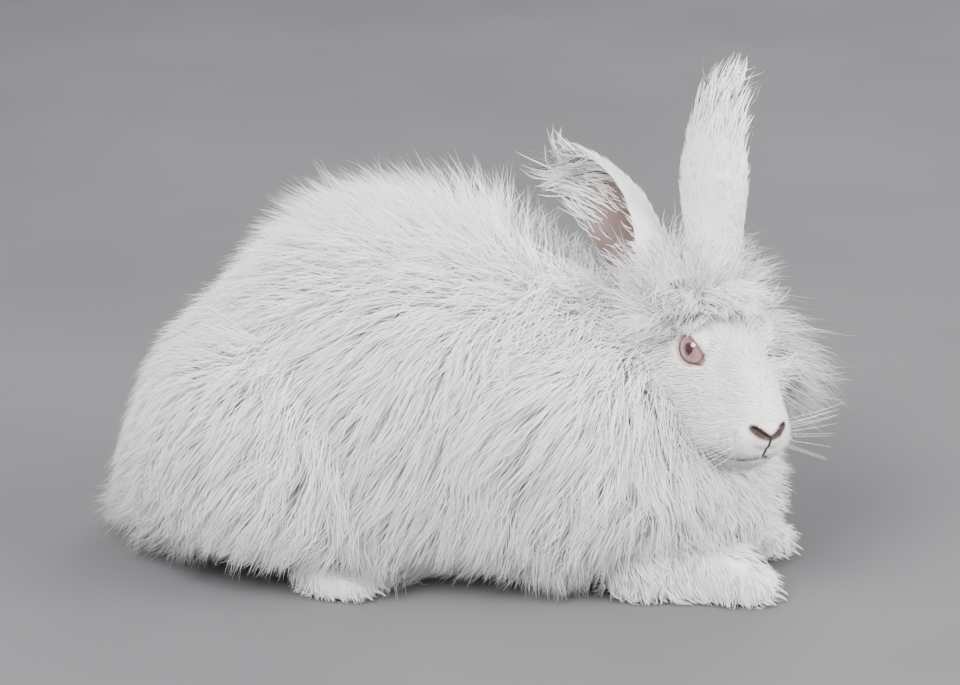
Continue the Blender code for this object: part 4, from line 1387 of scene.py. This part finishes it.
class Ground:
    """The skin as the ground that tufts grow from, with its triangles sorted by region."""

    def __init__(self, skin, trees):
        self.skin = skin
        self.region = triangle_regions(skin, trees)
        self.corners, points = corner_arrays(skin)[:2]
        self.places = to_design(points.mean(1))

    def roots(self, name, count, weights=1.0):
        """Random design roots in one region, by a density for each triangle, and the normals there."""
        spots, normals = scatter(self.skin, count, (self.region == name) * weights)
        return to_design(spots), normals

    def covered(self):
        """How far each triangle is covered with fur, from the skin's own values."""
        bare = np.empty(len(self.skin.data.vertices), np.float32)
        self.skin.data.attributes["bare"].data.foreach_get("value", bare)
        return np.clip(1 - 2.5 * bare[self.corners].mean(1), 0, 1)


def grow_body(ground, keep):
    """The under wool, and the long wool over it in pieces from the rump forwards."""
    x, _, z = ground.places.T
    density = np.where(z < 6, 0.5, 1.0)
    density = density * (1 + 0.5 * step(40, 80, x) * step(50, 90, z))
    roots, normals = ground.roots("body", COUNTS["body_under"], density)
    length, width, stand, lie, droop = body_coat(roots, normals)
    under = (length * 0.66, width * 2.6, stand * 0.85, lie, droop)
    pieces = [comb("coat_under", roots, normals, under, 3, 0.35, 15, 0.02, 0.03, keep)]
    roots, normals = ground.roots("body", COUNTS["body"], density)
    order = np.argsort(roots[:, 0])
    for name, part in zip(BODY_PIECES, np.array_split(order, len(BODY_PIECES))):
        coat = body_coat(roots[part], normals[part])
        lower = 1 - step(60, 130, roots[part][:, 2])
        gather, curl = 0.3 + 0.16 * lower, 0.03 + 0.05 * lower
        pieces.append(comb(name, roots[part], normals[part], coat, 3, gather, 10, 0.03, curl, keep))
    return pieces


def grow_head(ground):
    """The wool of the crown, the cheeks and the throat, and the short fur of the face."""
    face = step(-30, 20, design_to_head(ground.places)[:, 0])
    roots, normals = ground.roots("head", COUNTS["head"], (0.6 + 1.3 * face) * ground.covered())
    wool = head_coat(roots)[0] > 16
    pieces = []
    for name, part, rings, *locks in (
        ("coat_crown", wool, 4, 0.45, 8, 0.025, 0.03),
        ("coat_face", ~wool, 2, 0.25, 3.5, 0.025, 0.0),
    ):
        coat = head_coat(roots[part])
        pieces.append(comb(name, roots[part], normals[part], coat, rings, *locks, off_eyes))
    return pieces


def grow_ears(ground):
    """The fur on the backs and rims of the ears, and a few hairs inside them."""
    pieces = []
    for word in ("left", "right"):
        roots, normals = ground.roots(word, COUNTS["ears"] // 2)
        share, _, off = ear_place(roots, word)
        inner = np.sum(normals * off, axis=1) < 0
        odds = 0.09 + 0.8 * step(0.62, 0.86, share) + 0.8 * (share < 0.16)
        wanted = ~inner | (rng.random(len(roots)) < odds)
        roots, normals = roots[wanted], normals[wanted]
        coat = ear_coat(roots, normals, word)
        pieces.append(comb(f"coat_ear_{word}", roots, normals, coat, 3, 0.6, 8, 0.015))
    return pieces


def grow_paws(ground):
    roots, normals = ground.roots("paws", COUNTS["paws"])
    fore = roots[:, 0] > 0
    pieces = []
    for name, part in (("coat_forepaws", fore), ("coat_hind_feet", ~fore)):
        coat = paw_coat(roots[part], normals[part])
        pieces.append(comb(name, roots[part], normals[part], coat, 3, 0.5, 7, 0.03, 0.06))
    return pieces


def grow_coat(skin, trees, material):
    """All the wool. Its random numbers are drawn from the body to the paws."""
    ground = Ground(skin, trees)
    pieces = grow_body(ground, clear_of_face(trees["head"]))
    for grow in (grow_head, grow_ears, grow_paws):
        pieces += grow(ground)
    for piece in pieces:
        give(piece, material, "white_wool")


def make_claws(material):
    """A short curved claw at the end of each toe, mostly hidden in the fur."""
    claws = []
    t = np.linspace(0, 1, 7)
    for toes, radii in ((FORE_TOES, FORE_TOE_RADII), (HIND_TOES, HIND_TOE_RADII)):
        for side in (1, -1):
            for x, y in toes:
                start = x + radii.x - 3.0
                height = 4.6 + 1.2 * t - 3.8 * t**2
                path = np.stack([start + CLAW_LENGTH * t, np.full(len(t), side * y), height], 1)
                claws.append(bead("claw", path, CLAW_RADIUS - 1.05 * t**1.5))
    made = join("claws", claws)
    made.data.shade_smooth()
    return give(made, material, "ear_skin")


def make_whiskers(material):
    """Long tapered whiskers on the muzzle and a few over each eye."""
    roots, aims, lengths = [], [], []
    for side in (1, -1):
        for row in range(4):
            for column in range(3):
                roots.append((34 + 3.6 * column, side * (13.5 - 1.2 * column), -36 - 3.4 * row))
                aims.append((0.15 + 0.1 * column, side * 0.95, 0.25 - 0.18 * row))
                lengths.append(46 + 9 * rng.random() - 6 * column)
        for k in range(3):
            roots.append((2 + 3 * k, side * 16, 13))
            aims.append((0.2 + 0.12 * k, side * 0.6, 0.75))
            lengths.append(26 + 6 * rng.random())
    roots, aims = np.array(roots, float), unit(np.array(aims) + rng.normal(0, 0.07, (len(aims), 3)))
    lengths = np.array(lengths)
    t = np.linspace(0, 1, 9)[None, :, None]
    bend = np.array((-0.35, 0, -0.1))
    paths = roots[:, None] + (aims[:, None] * t + bend * t**2) * lengths[:, None, None]
    paths = head_to_design(paths.reshape(-1, 3)).reshape(paths.shape)
    normals = np.tile(np.array((0, 0, 1.0)), (len(roots), 1))
    none = np.zeros(len(roots))
    made = tuft_mesh("whiskers", paths, normals, none + WHISKER_RADIUS, paths[:, 0], none, none)
    return give(made, material, "white_wool")


def make_floor():
    bpy.ops.object.select_all(action="DESELECT")
    bpy.ops.mesh.primitive_plane_add(size=8)
    floor = bpy.context.object
    floor.name = "studio_floor"
    floor.data.materials.append(grained_finish("studio_floor_paper"))


def add_light(name, place, target, size, power):
    data = bpy.data.lights.new(name, "AREA")
    data.shape = "DISK"
    data.size = size
    data.energy = power
    made = bpy.data.objects.new(name, data)
    bpy.context.scene.collection.objects.link(made)
    made.location = place
    made.rotation_euler = (Vector(target) - Vector(place)).to_track_quat("-Z", "Y").to_euler()


def make_lights():
    for name, placing in LAMPS.items():
        add_light(name, *placing)
    world = bpy.data.worlds.new("studio")
    bpy.context.scene.world = world
    world.use_nodes = True
    world.node_tree.nodes["Background"].inputs[0].default_value = SKY_COLOUR
    world.node_tree.nodes["Background"].inputs[1].default_value = SKY_STRENGTH


def make_camera():
    """The photograph's view: the picture's middle is above the design origin by the rows between them."""
    azimuth, elevation = CAMERA_AZIMUTH, CAMERA_ELEVATION
    flat = math.cos(elevation)
    back = Vector((math.sin(azimuth) * flat, -math.cos(azimuth) * flat, math.sin(elevation)))
    right = Vector((math.cos(azimuth), math.sin(azimuth), 0))
    up = back.cross(right)
    rise = (ORIGIN_ROW - FRAME_HEIGHT / 2) / PIXELS_PER_MM * MM
    data = bpy.data.cameras.new("camera")
    data.sensor_width = SENSOR
    data.lens = SENSOR * CAMERA_DISTANCE / (FRAME_WIDTH / PIXELS_PER_MM * MM)
    camera = bpy.data.objects.new("camera", data)
    bpy.context.scene.collection.objects.link(camera)
    camera.location = SHIFT + up * rise + back * CAMERA_DISTANCE
    camera.rotation_euler = back.to_track_quat("Z", "Y").to_euler()
    bpy.context.scene.camera = camera


def main():
    skin, trees, lines = make_skin()
    mark_skin(skin, vertex_normals(skin), lines)
    flesh = ["torso", "neck", "head", "tail", "ear_left", "ear_right"]
    flesh += ["foreleg_left", "foreleg_right", "hind_leg_left", "hind_leg_right"]
    give(skin, skin_finish(), "short_white_fur", *flesh)
    wool = wool_finish()
    grow_coat(skin, trees, wool)
    wet, rim = eye_finish(), grained_finish("lid_rim_skin")
    for side, word in ((1, "left"), (-1, "right")):
        give(make_eye(side, word), wet, "pink_eye", f"eye_{word}")
        give(make_lid_rim(side, word), rim, "ear_skin")
    make_whiskers(whisker_finish())
    make_claws(grained_finish("claw_horn"))
    make_floor()
    make_lights()
    make_camera()


main()
